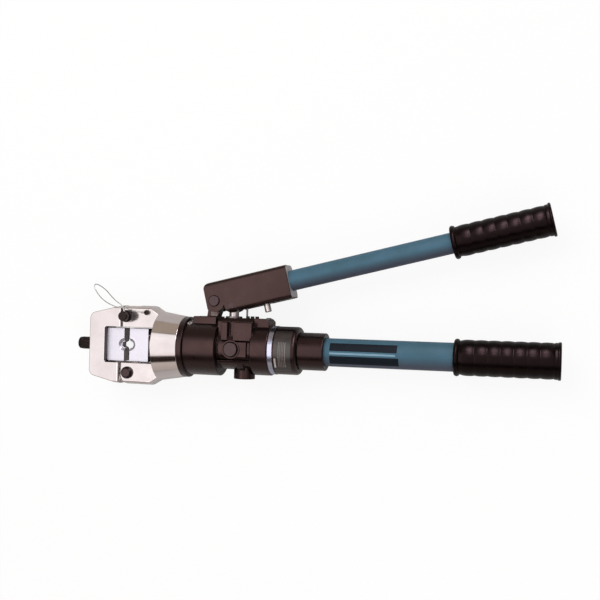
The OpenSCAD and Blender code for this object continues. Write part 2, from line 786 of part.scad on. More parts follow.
// Head: one turned blank with two flats, a die window and a fork for each tongue
module crimp_head() {
    color("silver") place() difference() {
        turned([[0, arm_low_x], [head_blank_r, arm_low_x], [head_blank_r, neck_x - arm_taper_len],
                [neck_rim_r, neck_x], [neck_seam_r, 0], [spigot_r, 0], [spigot_r, spigot_len],
                [0, spigot_len]]);
        for (s = [-1, 1]) translate([0, 0, s*(head_half + head_blank_r/2)])
            box([arm_low_x - overrun, -head_blank_r - overrun, -head_blank_r/2],
                [neck_x, head_blank_r + overrun, head_blank_r/2]);
        head_cut(arm_low_x - overrun, neck_x, -window_half, window_half);
        head_cut(arm_low_x - overrun, arm_top_x, 0, head_blank_r + overrun);
        arm_corner();
        for (s = [-1, 1]) {
            translate([0, s*head_blank_r, 0])
                box([arm_low_x - overrun, -head_blank_r, -tongue_t/2 - run_gap],
                    [pin_x + tongue_r + run_gap, head_blank_r, tongue_t/2 + run_gap]);
            rod_z(pin_x, s > 0 ? latch_y : -pin_y, -head_half - overrun, head_half + overrun,
                  pin_r + run_gap);
        }
        rod_z(pin_x, -pin_y, -head_half - overrun, -head_half + clip_inset + clip_t + clear_gap,
              pin_r + clip_w + clear_gap);
        rod_z(-lanyard_screw_x, lanyard_screw_y, head_half - lanyard_shank_len - clear_gap,
              head_half + overrun, lanyard_shank_r + seat_gap);
        rod_x(neck_x - overrun, neck_wall_x, guide_r);
        rod_x(neck_wall_x, spigot_len + overrun, piston_r + run_gap);
        ring_x(oring_x, oring_x + oring_d, spigot_r + overrun, spigot_r - oring_d);
    }
}

// What rounds off the outer corner of the lower arm
module arm_corner() {
    translate([0, 0, -head_half - overrun]) linear_extrude(head_t + 2*overrun) difference() {
        translate([arm_low_x - overrun, -head_blank_r - overrun]) square(arm_corner_r + overrun);
        translate([arm_low_x + arm_corner_r, -head_blank_r + arm_corner_r]) circle(arm_corner_r);
    }
}

// Yoke that closes the head: nose wall, two cheeks and two tongues for the pins
module latch_yoke() {
    color("gainsboro") place() difference() {
        union() {
            intersection() {
                rod_x(nose_x, yoke_top_x, head_blank_r);
                translate([0, 0, -head_half]) linear_extrude(head_t) yoke_outline();
            }
            yoke_tongue(1, yoke_top_x);
            yoke_tongue(-1, yoke_low_x);
        }
        difference() {
            head_cut(seat_x, pin_x + tongue_r + overrun, -window_half, window_half);
            seat_corners(window_half);
        }
        box([foot_seat_x, -foot_h/2 - run_gap, -head_blank_r],
            [seat_x + overrun, foot_h/2 + run_gap, die_half + run_gap]);
        for (s = [-1, 1])
            rod_z(pin_x, s > 0 ? latch_y : -pin_y, -head_half - overrun, head_half + overrun,
                  pin_r + run_gap);
        rod_x(nose_x - overrun, nose_x + knob_chamber_len, knob_chamber_r);
        rod_x(nose_x - overrun, foot_seat_x + overrun, knob_pin_r + run_gap);
    }
}

module yoke_outline() {
    polygon(concat(
        [[yoke_low_x, -cheek_y - (yoke_low_x - cheek_x)*tan(cheek_deg)]],
        [for (p = arc(nose_x + nose_round, nose_half, nose_round, corner_end_deg, 180)) [p[0], -p[1]]],
        arc(nose_x + nose_round, nose_half, nose_round, 180, corner_end_deg),
        [[yoke_top_x, cheek_y + (yoke_top_x - cheek_x)*tan(cheek_deg)], [yoke_top_x, 0], [yoke_low_x, 0]]));
}

module yoke_tongue(side, root_x) {
    translate([0, side*pin_y, -tongue_t/2]) {
        translate([pin_x, 0, 0]) cylinder(r = tongue_r, h = tongue_t);
        translate([root_x - tongue_root, -tongue_r, 0])
            cube([pin_x - root_x + tongue_root, 2*tongue_r, tongue_t]);
    }
}

module hinge_pin() {
    low = -head_half + clear_gap;
    groove = -head_half + clip_inset;
    color("dimgray") place() translate([pin_x, -pin_y, 0]) rotate_extrude() polygon([
        [0, low], [pin_r, low], [pin_r, groove], [pin_r - clip_inset, groove],
        [pin_r - clip_inset, groove + clip_t + run_gap], [pin_r, groove + clip_t + run_gap],
        [pin_r, head_half + seat_gap], [pin_head_r, head_half + seat_gap],
        [pin_head_r, head_half + hinge_band_h], [hinge_flat_r, head_half + hinge_head_h],
        [0, head_half + hinge_head_h]]);
}

module hinge_clip() {
    color("black") place() translate([pin_x, -pin_y, -head_half + clip_inset + seat_gap])
        clip(pin_r - clip_inset + run_gap, pin_r + clip_w);
}

module fixed_die() {
    color("whitesmoke") place() difference() {
        translate([fixed_face_x, 0, 0]) die_shape(die_len);
        seat_corners(die_h/2);
    }
}

module moving_die() {
    color("whitesmoke") place() translate([moving_face_x, 0, 0]) mirror([1, 0, 0]) die_shape(die_len + moving_extra);
}

// Ram rod and piston, turned in one, with a cross slot for the die foot
module ram() {
    color("lightsteelblue") place() difference() {
        turned([[0, ram_face_x], [ram_r, ram_face_x], [ram_r, piston_front], [piston_r, piston_front],
                [piston_r, seal_x], [seal_floor_r, seal_x], [seal_floor_r, groove_end],
                [piston_r, groove_end], [piston_r, piston_end], [0, piston_end]]);
        box([ram_face_x - overrun, -foot_h/2 - run_gap, -ram_r - overrun],
            [foot_end_x + run_gap, foot_h/2 + run_gap, ram_r + overrun]);
    }
}

module piston_seal() {
    color("black") place()
        ring_x(seal_x + seat_gap, backup_x - seat_gap, piston_r - seat_gap, seal_floor_r + seat_gap);
}

module backup_ring() {
    color("ivory") place()
        ring_x(backup_x, groove_end - seat_gap, piston_r - seat_gap, seal_floor_r + seat_gap);
}

module ram_spring() {
    color("slategray") place() translate([neck_wall_x + seat_gap, 0, 0]) rotate([0, 90, 0])
        spring(piston_r - clear_gap - ram_wire_d/2, piston_front - neck_wall_x - 2*seat_gap,
               ram_wire_d, ram_coils);
}

module guide_bush() {
    color("peru") place()
        ring_x(neck_x + wiper_w + seat_gap, neck_wall_x - seat_gap, guide_r - seat_gap, ram_r + run_gap);
}

module ram_wiper() {
    color("black") place() ring_x(neck_x, neck_x + wiper_w, guide_r - seat_gap, ram_r + run_gap);
}

module head_oring() {
    color("black") place() translate([oring_x + oring_d/2, 0, 0]) rotate([0, 90, 0]) rotate_extrude()
        translate([spigot_r - oring_d/2, 0]) circle(oring_d/2 - seat_gap);
}

// Latch pin: plain shaft, base, groove for the lanyard's eye and a knob
module latch_pin() {
    color("black") place() translate([pin_x, latch_y, 0]) rotate_extrude() polygon([
        [0, -head_half + clear_gap], [pin_r - edge_chamfer, -head_half + clear_gap],
        [pin_r, -head_half + clear_gap + edge_chamfer], [pin_r, latch_base_z], [pin_head_r, latch_base_z],
        [pin_head_r, latch_groove_z - edge_chamfer], [pin_head_r - edge_chamfer, latch_groove_z],
        [latch_groove_r, latch_groove_z], [latch_groove_r, latch_knob_z], [latch_knob_r, latch_knob_z],
        [latch_knob_r, latch_top_z - edge_chamfer], [latch_knob_r - edge_chamfer, latch_top_z],
        [0, latch_top_z]]);
}

// Eye of the lanyard in the pin's groove, with the sleeve that holds the wire
module lanyard_eye() {
    color("silver") place() translate([pin_x, latch_y, wire_start[2]]) rotate([0, 0, eye_deg]) difference() {
        union() {
            cylinder(r = eye_outer_r, h = eye_h, center = true);
            rod_x(latch_groove_r + run_gap, eye_reach, sleeve_r);
        }
        cylinder(r = latch_groove_r + run_gap, h = 2*latch_groove_h, center = true);
    }
}

module lanyard() {
    color("lightgray") place() sweep(smooth_route(lanyard_route), wire_d/2, wire_sides, [0, 0, 1]);
}

// Tab under the lanyard screw, with the sleeve that holds the wire's other end
module lanyard_tab() {
    color("silver") place() difference() {
        union() {
            rod_z(-lanyard_screw_x, lanyard_screw_y, head_half + seat_gap, head_half + tab_t, tab_r);
            translate([0, wire_end[1], wire_end[2]])
                rod_x(tab_x, -lanyard_screw_x - lanyard_screw_r - clear_gap, sleeve_r);
        }
        rod_z(-lanyard_screw_x, lanyard_screw_y, head_half - overrun, head_half + lanyard_screw_h,
              lanyard_shank_r + seat_gap);
    }
}

module lanyard_screw() {
    head_z = head_half + tab_t + seat_gap;
    color("saddlebrown") place() difference() {
        union() {
            rod_z(-lanyard_screw_x, lanyard_screw_y, head_half - lanyard_shank_len, head_z, lanyard_shank_r);
            rod_z(-lanyard_screw_x, lanyard_screw_y, head_z, head_z + lanyard_screw_h, lanyard_screw_r);
        }
        rod_z_hex(-lanyard_screw_x, lanyard_screw_y, head_z + lanyard_screw_h/2,
                  head_z + lanyard_screw_h + overrun, lanyard_shank_r);
    }
}

module rod_z_hex(x, y, z0, z1, r) {
    translate([x, y, z0]) cylinder(r = r, h = z1 - z0, $fn = 6);
}

// Die release knob with its locking pin and spring flange
module die_knob() {
    color("black") place() turned(concat(
        [[0, x_min]],
        [for (p = arc(x_min + knob_round, knob_r - knob_round, knob_round, 180, 90)) [p[1], p[0]]],
        [[knob_r, knob_face_x], [knob_pin_r, knob_face_x], [knob_pin_r, knob_flange_x],
         [knob_chamber_r - clear_gap, knob_flange_x], [knob_chamber_r - clear_gap, knob_flange_end],
         [knob_pin_r, knob_flange_end], [knob_pin_r, knob_tip_x - edge_chamfer],
         [knob_pin_r - edge_chamfer, knob_tip_x], [0, knob_tip_x]]));
}

module knob_bush() {
    color("gray") place()
        ring_x(nose_x, nose_x + knob_bush_len, knob_chamber_r - seat_gap, knob_pin_r + run_gap);
}

module knob_spring() {
    color("slategray") place() translate([nose_x + knob_bush_len + seat_gap, 0, 0]) rotate([0, 90, 0])
        spring((knob_pin_r + knob_chamber_r)/2, knob_flange_x - nose_x - knob_bush_len - 2*seat_gap,
               knob_wire_d, knob_coils);
}

// Pump body: collar, saddle and lever lug, pump block, rear cylinder and release nose
module pump_body() {
    color([0.11, 0.09, 0.09]) place() difference() {
        union() {
            turned([[0, 0], [lip_r, 0], [lip_r, lip_len], [collar_r, lip_len + edge_chamfer],
                    [collar_r, block_x - rim_chamfer], [collar_r - rim_chamfer, block_x],
                    [waist_r, block_x], [waist_r, rear_x], [rear_r - rim_chamfer, rear_x],
                    [rear_r, rear_x + rim_chamfer], [rear_r, band_x - rim_chamfer],
                    [rear_r - rim_chamfer, band_x], [0, band_x]]);
            box([lip_len + saddle_gap, 0, -saddle_half], [block_x - saddle_end, saddle_top, saddle_half]);
            lever_lug();
            pump_block();
            release_nose();
            rod_y(block_x + boss_x, 0, -boss_drop, 0, boss_r);
            rod_z(block_x + side_plug_x, 0, 0, block_r - plug_step, side_plug_r + plug_wall);
            box([block_x + side_plug_x, -ear_half, 0],
                [block_x + side_plug_x + ear_len, ear_half, block_r - plug_step - edge_chamfer]);
            body_ribs();
        }
        rod_x(-overrun, head_socket_len, spigot_r + run_gap);
        rod_x(head_socket_len - overrun, chamber_x, piston_r + run_gap);
        rod_z(pivot_x, pivot_y, -lug_w, lug_w, pivot_r + seat_gap);
        rod_y(plunger_x, 0, block_top - pump_bore_depth, block_top + overrun, plunger_r + clear_gap);
        rod_y(plunger_x, 0, block_top - gland_depth - plunger_seal_w, block_top + overrun, gland_r);
        rod_z(block_x + side_plug_x, 0, block_half - side_plug_depth, block_r + overrun, side_plug_r);
        rod_z(block_x + side_plug_x, 0, side_floor, block_half, valve_bore_r);
        rod_y(block_x + boss_x, 0, -boss_drop - overrun, -boss_drop + bottom_plug_len, bottom_plug_r);
        rod_y(block_x + boss_x, 0, -boss_drop, bottom_floor, valve_bore_r);
        rod_y(stem_x, stem_z, stem_floor, block_top + overrun, stem_r + run_gap);
        rod_y(stem_x, stem_z, block_top - stem_gland_len, block_top + overrun, stem_gland_r);
        rod_y(block_x + stop_x, 0, block_top - stop_depth, block_top + overrun, stop_r + seat_gap);
        for (i = [0:2])
            rod_y(block_x + top_screw_x + i*top_screw_pitch, top_screw_z, block_top - top_shank_len,
                  block_top + overrun, top_shank_r + seat_gap);
        rotate([set_screw_deg, 0, 0])
            rod_y(set_screw_x, 0, spigot_r - overrun, collar_r + rear_r, set_screw_r + seat_gap);
        rod_x(band_x - pipe_depth, band_x + overrun, pipe_r);
        translate([0, block_top - pump_bore_depth + port_r, 0])
            rod_x(chamber_x - overrun, plunger_x, port_r);
    }
}

// Lug that carries the lever pivot, on the rear end of the saddle
module lever_lug() {
    translate([0, 0, -lug_w/2]) linear_extrude(lug_w) {
        translate([pivot_x, pivot_y]) circle(lug_r);
        polygon([[pivot_x - lug_foot, saddle_top - overrun],
                 [block_x - saddle_end - overrun, saddle_top - overrun],
                 [pivot_x + lug_r*cos(lever_deg), pivot_y], [pivot_x - lug_r, pivot_y]]);
    }
}

// Long rib on each side of the waist, and the short rib that runs down to the bottom boss
module body_ribs() {
    intersection() {
        rod_x(block_x - overrun, rear_x + overrun, block_r - rib_step);
        union() {
            box([block_x - overrun, -rib_drop - rib_t/2, -block_r],
                [rear_x + overrun, -rib_drop + rib_t/2, block_r]);
            translate([block_x + boss_x, 0, 0])
                box([-gusset_w/2, -block_r, 0], [gusset_w/2, -rib_drop, block_r]);
        }
    }
}

// Block around the pump bore: a web over the round waist, and a pair of raised pads on each side
module pump_block() {
    pad_top = block_top - block_chamfer;
    translate([block_x - overrun, 0, 0]) rotate([90, 0, 90]) linear_extrude(block_len + 2*overrun) polygon([
        [0, -web_half], [pad_top, -web_half], [block_top, -web_half + block_chamfer],
        [block_top, web_half - block_chamfer], [pad_top, web_half], [0, web_half]]);
    for (s = [0, 1]) mirror([0, 0, s]) translate([block_x, pad_top - edge_chamfer - pad_h, 0]) {
        box([pad_margin, 0, 0], [pad_groove_x, pad_h, block_half + pad_t]);
        box([pad_groove_x + pad_groove, 0, 0], [block_len + pad_over, pad_h, block_half + pad_t]);
    }
}

module release_nose() {
    translate([0, 0, -valve_half]) linear_extrude(2*valve_half) polygon([
        [rear_x - 2*overrun, 0], [rear_x - 2*overrun, block_top], [rear_x + valve_flat, block_top],
        [band_x - 2*rim_chamfer, block_top - valve_drop], [band_x - 2*rim_chamfer, 0]]);
}

module set_screw() {
    top = collar_r + set_screw_rise;
    color("silver") place() rotate([set_screw_deg, 0, 0]) difference() {
        rod_y(set_screw_x, 0, spigot_r + clear_gap, top, set_screw_r);
        translate([set_screw_x, top - set_screw_rise, 0]) rotate([-90, 0, 0])
            cylinder(r = set_screw_r/2, h = set_screw_rise + overrun, $fn = 6);
    }
}

module side_plug() {
    top = block_r + side_plug_rise;
    color("black") place() translate([block_x + side_plug_x, 0, 0]) rotate_extrude() polygon([
        [0, block_half - side_plug_depth], [side_plug_r - seat_gap, block_half - side_plug_depth],
        [side_plug_r - seat_gap, top - edge_chamfer], [side_plug_r - edge_chamfer, top], [0, top]]);
}

module relief_spring() {
    color("slategray") place()
        translate([block_x + side_plug_x, 0, block_half - side_plug_depth - valve_spring_len])
            spring(ball_r - valve_wire_d/2, valve_spring_len, valve_wire_d, valve_coils);
}

module relief_ball() {
    color("silver") place() translate([block_x + side_plug_x, 0, side_floor + ball_r]) sphere(ball_r);
}

module bottom_plug() {
    color("dimgray") place() difference() {
        rod_y(block_x + boss_x, 0, -boss_drop, -boss_drop + bottom_plug_len, bottom_plug_r - seat_gap);
        translate([block_x + boss_x, -boss_drop - overrun, 0]) rotate([-90, 0, 0])
            cylinder(r = plug_hex_r, h = plug_hex_depth + overrun, $fn = 6);
    }
}

module inlet_spring() {
    color("slategray") place() translate([block_x + boss_x, -boss_drop + bottom_plug_len, 0])
        rotate([-90, 0, 0]) spring(ball_r - valve_wire_d/2, valve_spring_len, valve_wire_d, valve_coils);
}

module inlet_ball() {
    color("silver") place() translate([block_x + boss_x, bottom_floor - ball_r, 0]) sphere(ball_r);
}

module plunger_gland() {
    rim_r = gland_r + gland_rim_w;
    color("dimgray") place() translate([plunger_x, 0, 0]) rotate([-90, 0, 0]) rotate_extrude() polygon([
        [plunger_r + run_gap, block_top - gland_depth], [gland_r - seat_gap, block_top - gland_depth],
        [gland_r - seat_gap, block_top + seat_gap], [rim_r, block_top + seat_gap],
        [rim_r, block_top + gland_rim_h], [plunger_r + run_gap, block_top + gland_rim_h]]);
}

module plunger_seal() {
    low = block_top - gland_depth - plunger_seal_w;
    color("black") place() translate([plunger_x, 0, 0]) rotate([-90, 0, 0]) rotate_extrude() polygon([
        [plunger_r + run_gap, low], [gland_r - seat_gap, low],
        [gland_r - seat_gap, low + plunger_seal_w - seat_gap],
        [plunger_r + run_gap, low + plunger_seal_w - seat_gap]]);
}

// Plunger with a slotted eye, because its pin swings on an arc
module pump_plunger() {
    slot_r = link_r + clear_gap;
    color("lightgray") place() translate([plunger_x, link_y, 0]) difference() {
        union() {
            rod_y(0, 0, -plunger_len, -link_r, plunger_r);
            cylinder(r = eye_r, h = eye_w, center = true);
        }
        for (s = [-1, 1]) translate([s*eye_play, 0, 0])
            cylinder(r = slot_r, h = eye_w + 2*overrun, center = true);
        box([-eye_play, -slot_r, -eye_w], [eye_play, slot_r, eye_w]);
    }
}

module top_screw(index) {
    color("black") place() {
        x = block_x + top_screw_x + index*top_screw_pitch;
        rod_y(x, top_screw_z, block_top - top_shank_len, block_top + seat_gap, top_shank_r);
        rod_y(x, top_screw_z, block_top + seat_gap, block_top + top_screw_h, top_screw_r);
    }
}

module top_screw_1() { top_screw(0); }

module top_screw_2() { top_screw(1); }

module top_screw_3() { top_screw(2); }

module stop_pin() {
    color("dimgray") place() rod_y(block_x + stop_x, 0, block_top - stop_depth, block_top + stop_h, stop_r);
}

module release_gland() {
    color("dimgray") place() translate([stem_x, 0, stem_z]) rotate([-90, 0, 0]) rotate_extrude() polygon([
        [stem_r + run_gap, block_top - stem_gland_len], [stem_gland_r - seat_gap, block_top - stem_gland_len],
        [stem_gland_r - seat_gap, block_top], [stem_r + run_gap, block_top]]);
}

module release_stem() {
    color("silver") place() translate([stem_x, 0, stem_z]) rotate([-90, 0, 0]) rotate_extrude() polygon([
        [0, stem_low], [stem_r, stem_low], [stem_r, stem_top - edge_chamfer],
        [stem_r - edge_chamfer, stem_top], [0, stem_top]]);
}

module release_spring() {
    color("slategray") place() translate([stem_x, stem_low - stem_spring_len + seat_gap, stem_z])
        rotate([-90, 0, 0])
            spring(stem_ball_r - valve_wire_d/2, stem_spring_len - 2*seat_gap, valve_wire_d, valve_coils);
}

module release_ball() {
    color("silver") place() translate([stem_x, stem_floor + stem_ball_r, stem_z]) sphere(stem_ball_r);
}

module trim_band() {
    color("lightsteelblue") place() ring_x(band_x, res_x, band_r, pipe_r);
}

module reservoir_collar() {
    round_x = socket_x - res_round;
    color([0.11, 0.09, 0.09]) place() turned(concat(
        [[pipe_r, res_x], [res_r, res_x]],
        [for (p = arc(round_x, res_r - res_round, res_round, 90, 0)) [p[1], p[0]]],
        [[pipe_r, socket_x]]));
}

// Thin label that wraps the upper side of the reservoir collar
module label() {
    x0 = res_x + label_gap;
    color("dimgray") place() translate([x0, 0, 0]) rotate([0, 90, 0]) rotate([0, 0, 180 - label_deg/2])
        rotate_extrude(angle = label_deg)
            translate([res_r + seat_gap, 0]) square([label_t, label_len]);
}

module handle_socket() {
    color([0.11, 0.09, 0.09]) place() turned([[pipe_r, socket_x], [socket_r, socket_x],
        [socket_r, tube_x - edge_chamfer], [socket_r - edge_chamfer, tube_x], [tube_r, tube_x],
        [tube_r, web_x], [pipe_r, web_x]]);
}

module handle_tube() {
    color("cadetblue") place() ring_x(web_x, tube_end, tube_r - seat_gap, tube_r - tube_wall);
}

module handle_grip() {
    color([0.12, 0.09, 0.09]) place() grip(grip_x, grip_end, tube_r, grip_flange_r, grip_swell_r);
}

module tube_plug() {
    color("dimgray") place() rod_x(tube_end - plug_t, tube_end, tube_r - tube_wall - seat_gap);
}

module oil_pipe() {
    color("peru") place() ring_x(band_x - pipe_depth, pipe_end, pipe_r - seat_gap, pipe_r - pipe_wall);
}

// Rubber oil bag in the handle tube, open at its neck
module oil_bladder() {
    neck_r = pipe_r + bladder_wall;
    cone_x = pipe_end + bladder_r - neck_r;
    ball_x = bladder_end - bladder_r;
    inner_r = bladder_r - bladder_wall;
    color("black") place() turned(concat(
        [[pipe_r, web_x + seat_gap], [neck_r, web_x + seat_gap], [neck_r, pipe_end], [bladder_r, cone_x]],
        [for (p = arc(ball_x, 0, bladder_r, 90, 0)) [p[1], p[0]]],
        [for (p = arc(ball_x, 0, inner_r, 0, 90)) [p[1], p[0]]],
        [[inner_r, cone_x + bladder_wall], [pipe_r, pipe_end + bladder_wall]]));
}

module bladder_clamp() {
    neck_r = pipe_r + bladder_wall;
    mid = web_x + bladder_neck/2;
    color("silver") place() ring_x(mid - clip_w, mid + clip_w, neck_r + clip_t, neck_r + seat_gap);
}

module pivot_pin() {
    head_z = bracket_half + run_gap;
    tail_z = -bracket_half - run_gap - clip_t - clip_inset;
    color("dimgray") place() translate([pivot_x, pivot_y, 0]) rotate_extrude() polygon([
        [0, tail_z], [pivot_r, tail_z], [pivot_r, tail_z + clip_inset],
        [pivot_r - clip_inset, tail_z + clip_inset], [pivot_r - clip_inset, tail_z + clip_inset + clip_t],
        [pivot_r, tail_z + clip_inset + clip_t], [pivot_r, head_z], [pivot_head_r, head_z],
        [pivot_head_r, head_z + pivot_head_h - edge_chamfer],
        [pivot_head_r - edge_chamfer, head_z + pivot_head_h], [0, head_z + pivot_head_h]]);
}

module pivot_clip() {
    color("black") place() translate([pivot_x, pivot_y, -bracket_half - run_gap - clip_t])
        clip(pivot_r - clip_inset + seat_gap, pivot_r + clip_w);
}

// Forked lever bracket with a round socket for the lever tube
module lever_bracket() {
    color([0.3, 0.26, 0.25]) on_lever() difference() {
        intersection() {
            translate([0, 0, -bracket_half]) linear_extrude(bracket_w) bracket_side();
            translate([-bracket_front, 0, 0]) rotate([0, 90, 0])
                linear_extrude(bracket_front + bracket_rear) bracket_section();
        }
        box([-bracket_front - overrun, -lobe_low - overrun, -fork_w/2], [fork_len, fork_up, fork_w/2]);
        box([fork_len - overrun, -lobe_low, -stop_pocket_w/2],
            [fork_len + stop_pocket_len, -stop_roof, stop_pocket_w/2]);
        translate([0, lever_tube_v, 0])
            rod_x(lever_tube_u - clear_gap, bracket_rear + overrun, lever_tube_r + run_gap);
        box([peg_u - peg_r - clear_gap, -lobe_low, -peg_sweep - clear_gap],
            [peg_u + peg_r + clear_gap, 0, peg_r + clear_gap]);
        rod_z(0, 0, -bracket_w, bracket_w, pivot_r + run_gap);
        rod_z(link_u, -link_v, -bracket_w, bracket_w, link_r + seat_gap);
    }
}

module bracket_side() {
    difference() {
        union() {
            translate([-bracket_front, -arch_down])
                square([bracket_front + bracket_rear, arch_down + bracket_up]);
            intersection() {
                circle(pivot_boss_r);
                translate([-bracket_front, -pivot_boss_r]) square(2*pivot_boss_r);
            }
            translate([link_u, -link_v]) circle(lobe_r);
            translate([fork_len - link_r, -bracket_down])
                square([bracket_rear - fork_len + link_r, bracket_down]);
        }
        translate([-bracket_front, bracket_up]) difference() {
            translate([-overrun, -bracket_corner]) square(bracket_corner + overrun);
            translate([bracket_corner, -bracket_corner]) circle(bracket_corner);
        }
    }
}

// Section of the bracket with rounded upper and lower edges
module bracket_section() {
    low = bracket_half - bracket_low_round;
    top = bracket_half - bracket_top_round;
    polygon(concat(
        arc(top, bracket_up - bracket_top_round, bracket_top_round, 0, 90),
        arc(-top, bracket_up - bracket_top_round, bracket_top_round, 90, 180),
        arc(-low, -lobe_low + bracket_low_round, bracket_low_round, 180, 270),
        arc(low, -lobe_low + bracket_low_round, bracket_low_round, 270, 360)));
}

module link_pin() {
    color("black") on_lever()
        rod_z(link_u, -link_v, -bracket_half + clear_gap, bracket_half - clear_gap, link_r);
}

module lever_tube() {
    color("cadetblue") on_lever_tube() difference() {
        ring_x(lever_tube_u, lever_tube_end, lever_tube_r, lever_bore_r);
        rod_y(peg_u, 0, -2*lever_tube_r, 0, peg_r + seat_gap);
    }
}

module lever_grip() {
    color([0.12, 0.09, 0.09]) on_lever_tube()
        grip(lever_len - lever_grip_len, lever_len, lever_tube_r + seat_gap, lever_flange_r, lever_swell_r);
}

// Plug in the lever tube's front end, bored across for the peg
module lever_plug() {
    color("dimgray") on_lever_tube() difference() {
        rod_x(lever_tube_u + edge_chamfer, lever_tube_u + edge_chamfer + lever_plug_len,
              lever_bore_r - seat_gap);
        rod_y(peg_u, 0, -2*lever_tube_r, peg_root + seat_gap, peg_r + seat_gap);
    }
}

module release_peg() {
    color("silver") on_lever_tube() translate([peg_u, 0, 0]) rotate([-90, 0, 0]) rotate_extrude() polygon([
        [0, -peg_radius], [peg_r - edge_chamfer, -peg_radius], [peg_r, -peg_radius + edge_chamfer],
        [peg_r, peg_root], [0, peg_root]]);
}

crimp_head();
latch_yoke();
hinge_pin();
hinge_clip();
fixed_die();
moving_die();
ram();
piston_seal();
backup_ring();
ram_spring();
guide_bush();
ram_wiper();
head_oring();
latch_pin();
lanyard_eye();
lanyard();
lanyard_tab();
lanyard_screw();
die_knob();
knob_bush();
knob_spring();
pump_body();
set_screw();
side_plug();
relief_spring();
relief_ball();
bottom_plug();
inlet_spring();
inlet_ball();
plunger_gland();
plunger_seal();
pump_plunger();
top_screw_1();
top_screw_2();
top_screw_3();
stop_pin();
release_gland();
release_stem();
release_spring();
release_ball();
trim_band();
reservoir_collar();
label();
handle_socket();
handle_tube();
handle_grip();
tube_plug();
oil_pipe();
oil_bladder();
bladder_clamp();
pivot_pin();
pivot_clip();
lever_bracket();
link_pin();
lever_tube();
lever_grip();
lever_plug();
release_peg();
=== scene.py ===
"""Dressed scene of a hydraulic crimping tool that lies on a pale floor.

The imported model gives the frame. This script adds finishes, soft edges, springs, grips,
knurls, the wire lanyard, the printed stripes and the studio.
"""

from __future__ import annotations

import logging
import math
from dataclasses import dataclass
from enum import Enum

import bmesh
import bpy
import numpy as np
from mathutils import Matrix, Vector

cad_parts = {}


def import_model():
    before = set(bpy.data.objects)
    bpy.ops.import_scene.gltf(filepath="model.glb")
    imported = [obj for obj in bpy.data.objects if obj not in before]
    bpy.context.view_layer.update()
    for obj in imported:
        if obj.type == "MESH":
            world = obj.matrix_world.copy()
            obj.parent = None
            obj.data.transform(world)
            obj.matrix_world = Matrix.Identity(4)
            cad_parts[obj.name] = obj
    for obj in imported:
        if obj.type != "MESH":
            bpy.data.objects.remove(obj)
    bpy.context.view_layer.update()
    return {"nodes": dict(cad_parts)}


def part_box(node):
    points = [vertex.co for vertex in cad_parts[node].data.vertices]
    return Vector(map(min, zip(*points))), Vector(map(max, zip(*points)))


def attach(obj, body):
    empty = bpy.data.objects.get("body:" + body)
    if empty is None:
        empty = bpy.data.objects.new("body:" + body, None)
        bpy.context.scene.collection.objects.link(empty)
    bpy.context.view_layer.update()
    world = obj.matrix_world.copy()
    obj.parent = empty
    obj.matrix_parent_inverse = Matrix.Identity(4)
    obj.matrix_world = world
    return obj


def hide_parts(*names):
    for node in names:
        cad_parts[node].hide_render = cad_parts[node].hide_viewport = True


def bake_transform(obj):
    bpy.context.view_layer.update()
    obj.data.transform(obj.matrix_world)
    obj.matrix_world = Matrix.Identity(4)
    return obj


LOG = logging.getLogger("crimping_tool")
MM = 0.001

Colour = tuple[float, float, float, float]
Point = tuple[float, float, float]
Span = tuple[float, float]
Array = np.ndarray
Edge = bmesh.types.BMEdge
Object = bpy.types.Object
Socket = bpy.types.NodeSocket
Tree = bpy.types.NodeTree

UP: Point = (0.0, 0.0, 1.0)
# Points of a new piece this close are one point, and shorter edges go, in metres.
SEAM = 1e-7
SLIVER = 1e-8
# A Mix node's sockets for the lower colour, the upper one and the result.
MIX_UNDER, MIX_OVER, MIX_RESULT = 6, 7, 2


def linear(code: str) -> Colour:
    """Turn an sRGB hex colour into linear light, by the standard's own curve.

    Args:
        code: Colour such as "#1c1515".

    Returns:
        Red, green, blue and an alpha of 1.
    """
    channels = np.array([int(code[i:i + 2], 16) for i in (1, 3, 5)]) / 255.0
    low, high = channels / 12.92, ((channels + 0.055) / 1.055) ** 2.4
    return (*np.where(channels <= 0.04045, low, high).tolist(), 1.0)


def per_mm(size: float) -> float:
    """Return a texture scale whose pattern repeats about every size millimetres."""
    return 1.0 / (size * MM)


def add_node(tree: Tree, kind: str, inputs: dict | None = None, **settings) -> bpy.types.Node:
    """Add one shader node with its settings and links.

    Args:
        tree: Node tree that gets the node.
        kind: Node type name.
        inputs: Socket name or index to a value, or to an output socket to link.
        settings: Node properties.

    Returns:
        The new node.
    """
    node = tree.nodes.new(kind)
    for key, value in settings.items():
        setattr(node, key, value)
    for key, value in (inputs or {}).items():
        if isinstance(value, Socket):
            tree.links.new(value, node.inputs[key])
        else:
            node.inputs[key].default_value = value
    return node


def maths(tree: Tree, operation: str, *values: float | Socket) -> Socket:
    """Return the result of one sum on numbers or sockets."""
    return add_node(tree, "ShaderNodeMath", dict(enumerate(values)), operation=operation).outputs["Value"]


def remap(tree: Tree, value: Socket, span: Span, result: Span = (0.0, 1.0)) -> Socket:
    """Return a value carried from one span to another, and held at the ends."""
    return add_node(tree, "ShaderNodeMapRange", {
        "Value": value, "From Min": span[0], "From Max": span[1],
        "To Min": result[0], "To Max": result[1]}).outputs["Result"]


def mix_colour(tree: Tree, share: Socket, under: Socket, over: str) -> Socket:
    """Return a colour with a share of a second one, given as hex, laid over it."""
    return add_node(tree, "ShaderNodeMix", {
        "Factor": share, MIX_UNDER: under, MIX_OVER: linear(over)}, data_type="RGBA").outputs[MIX_RESULT]


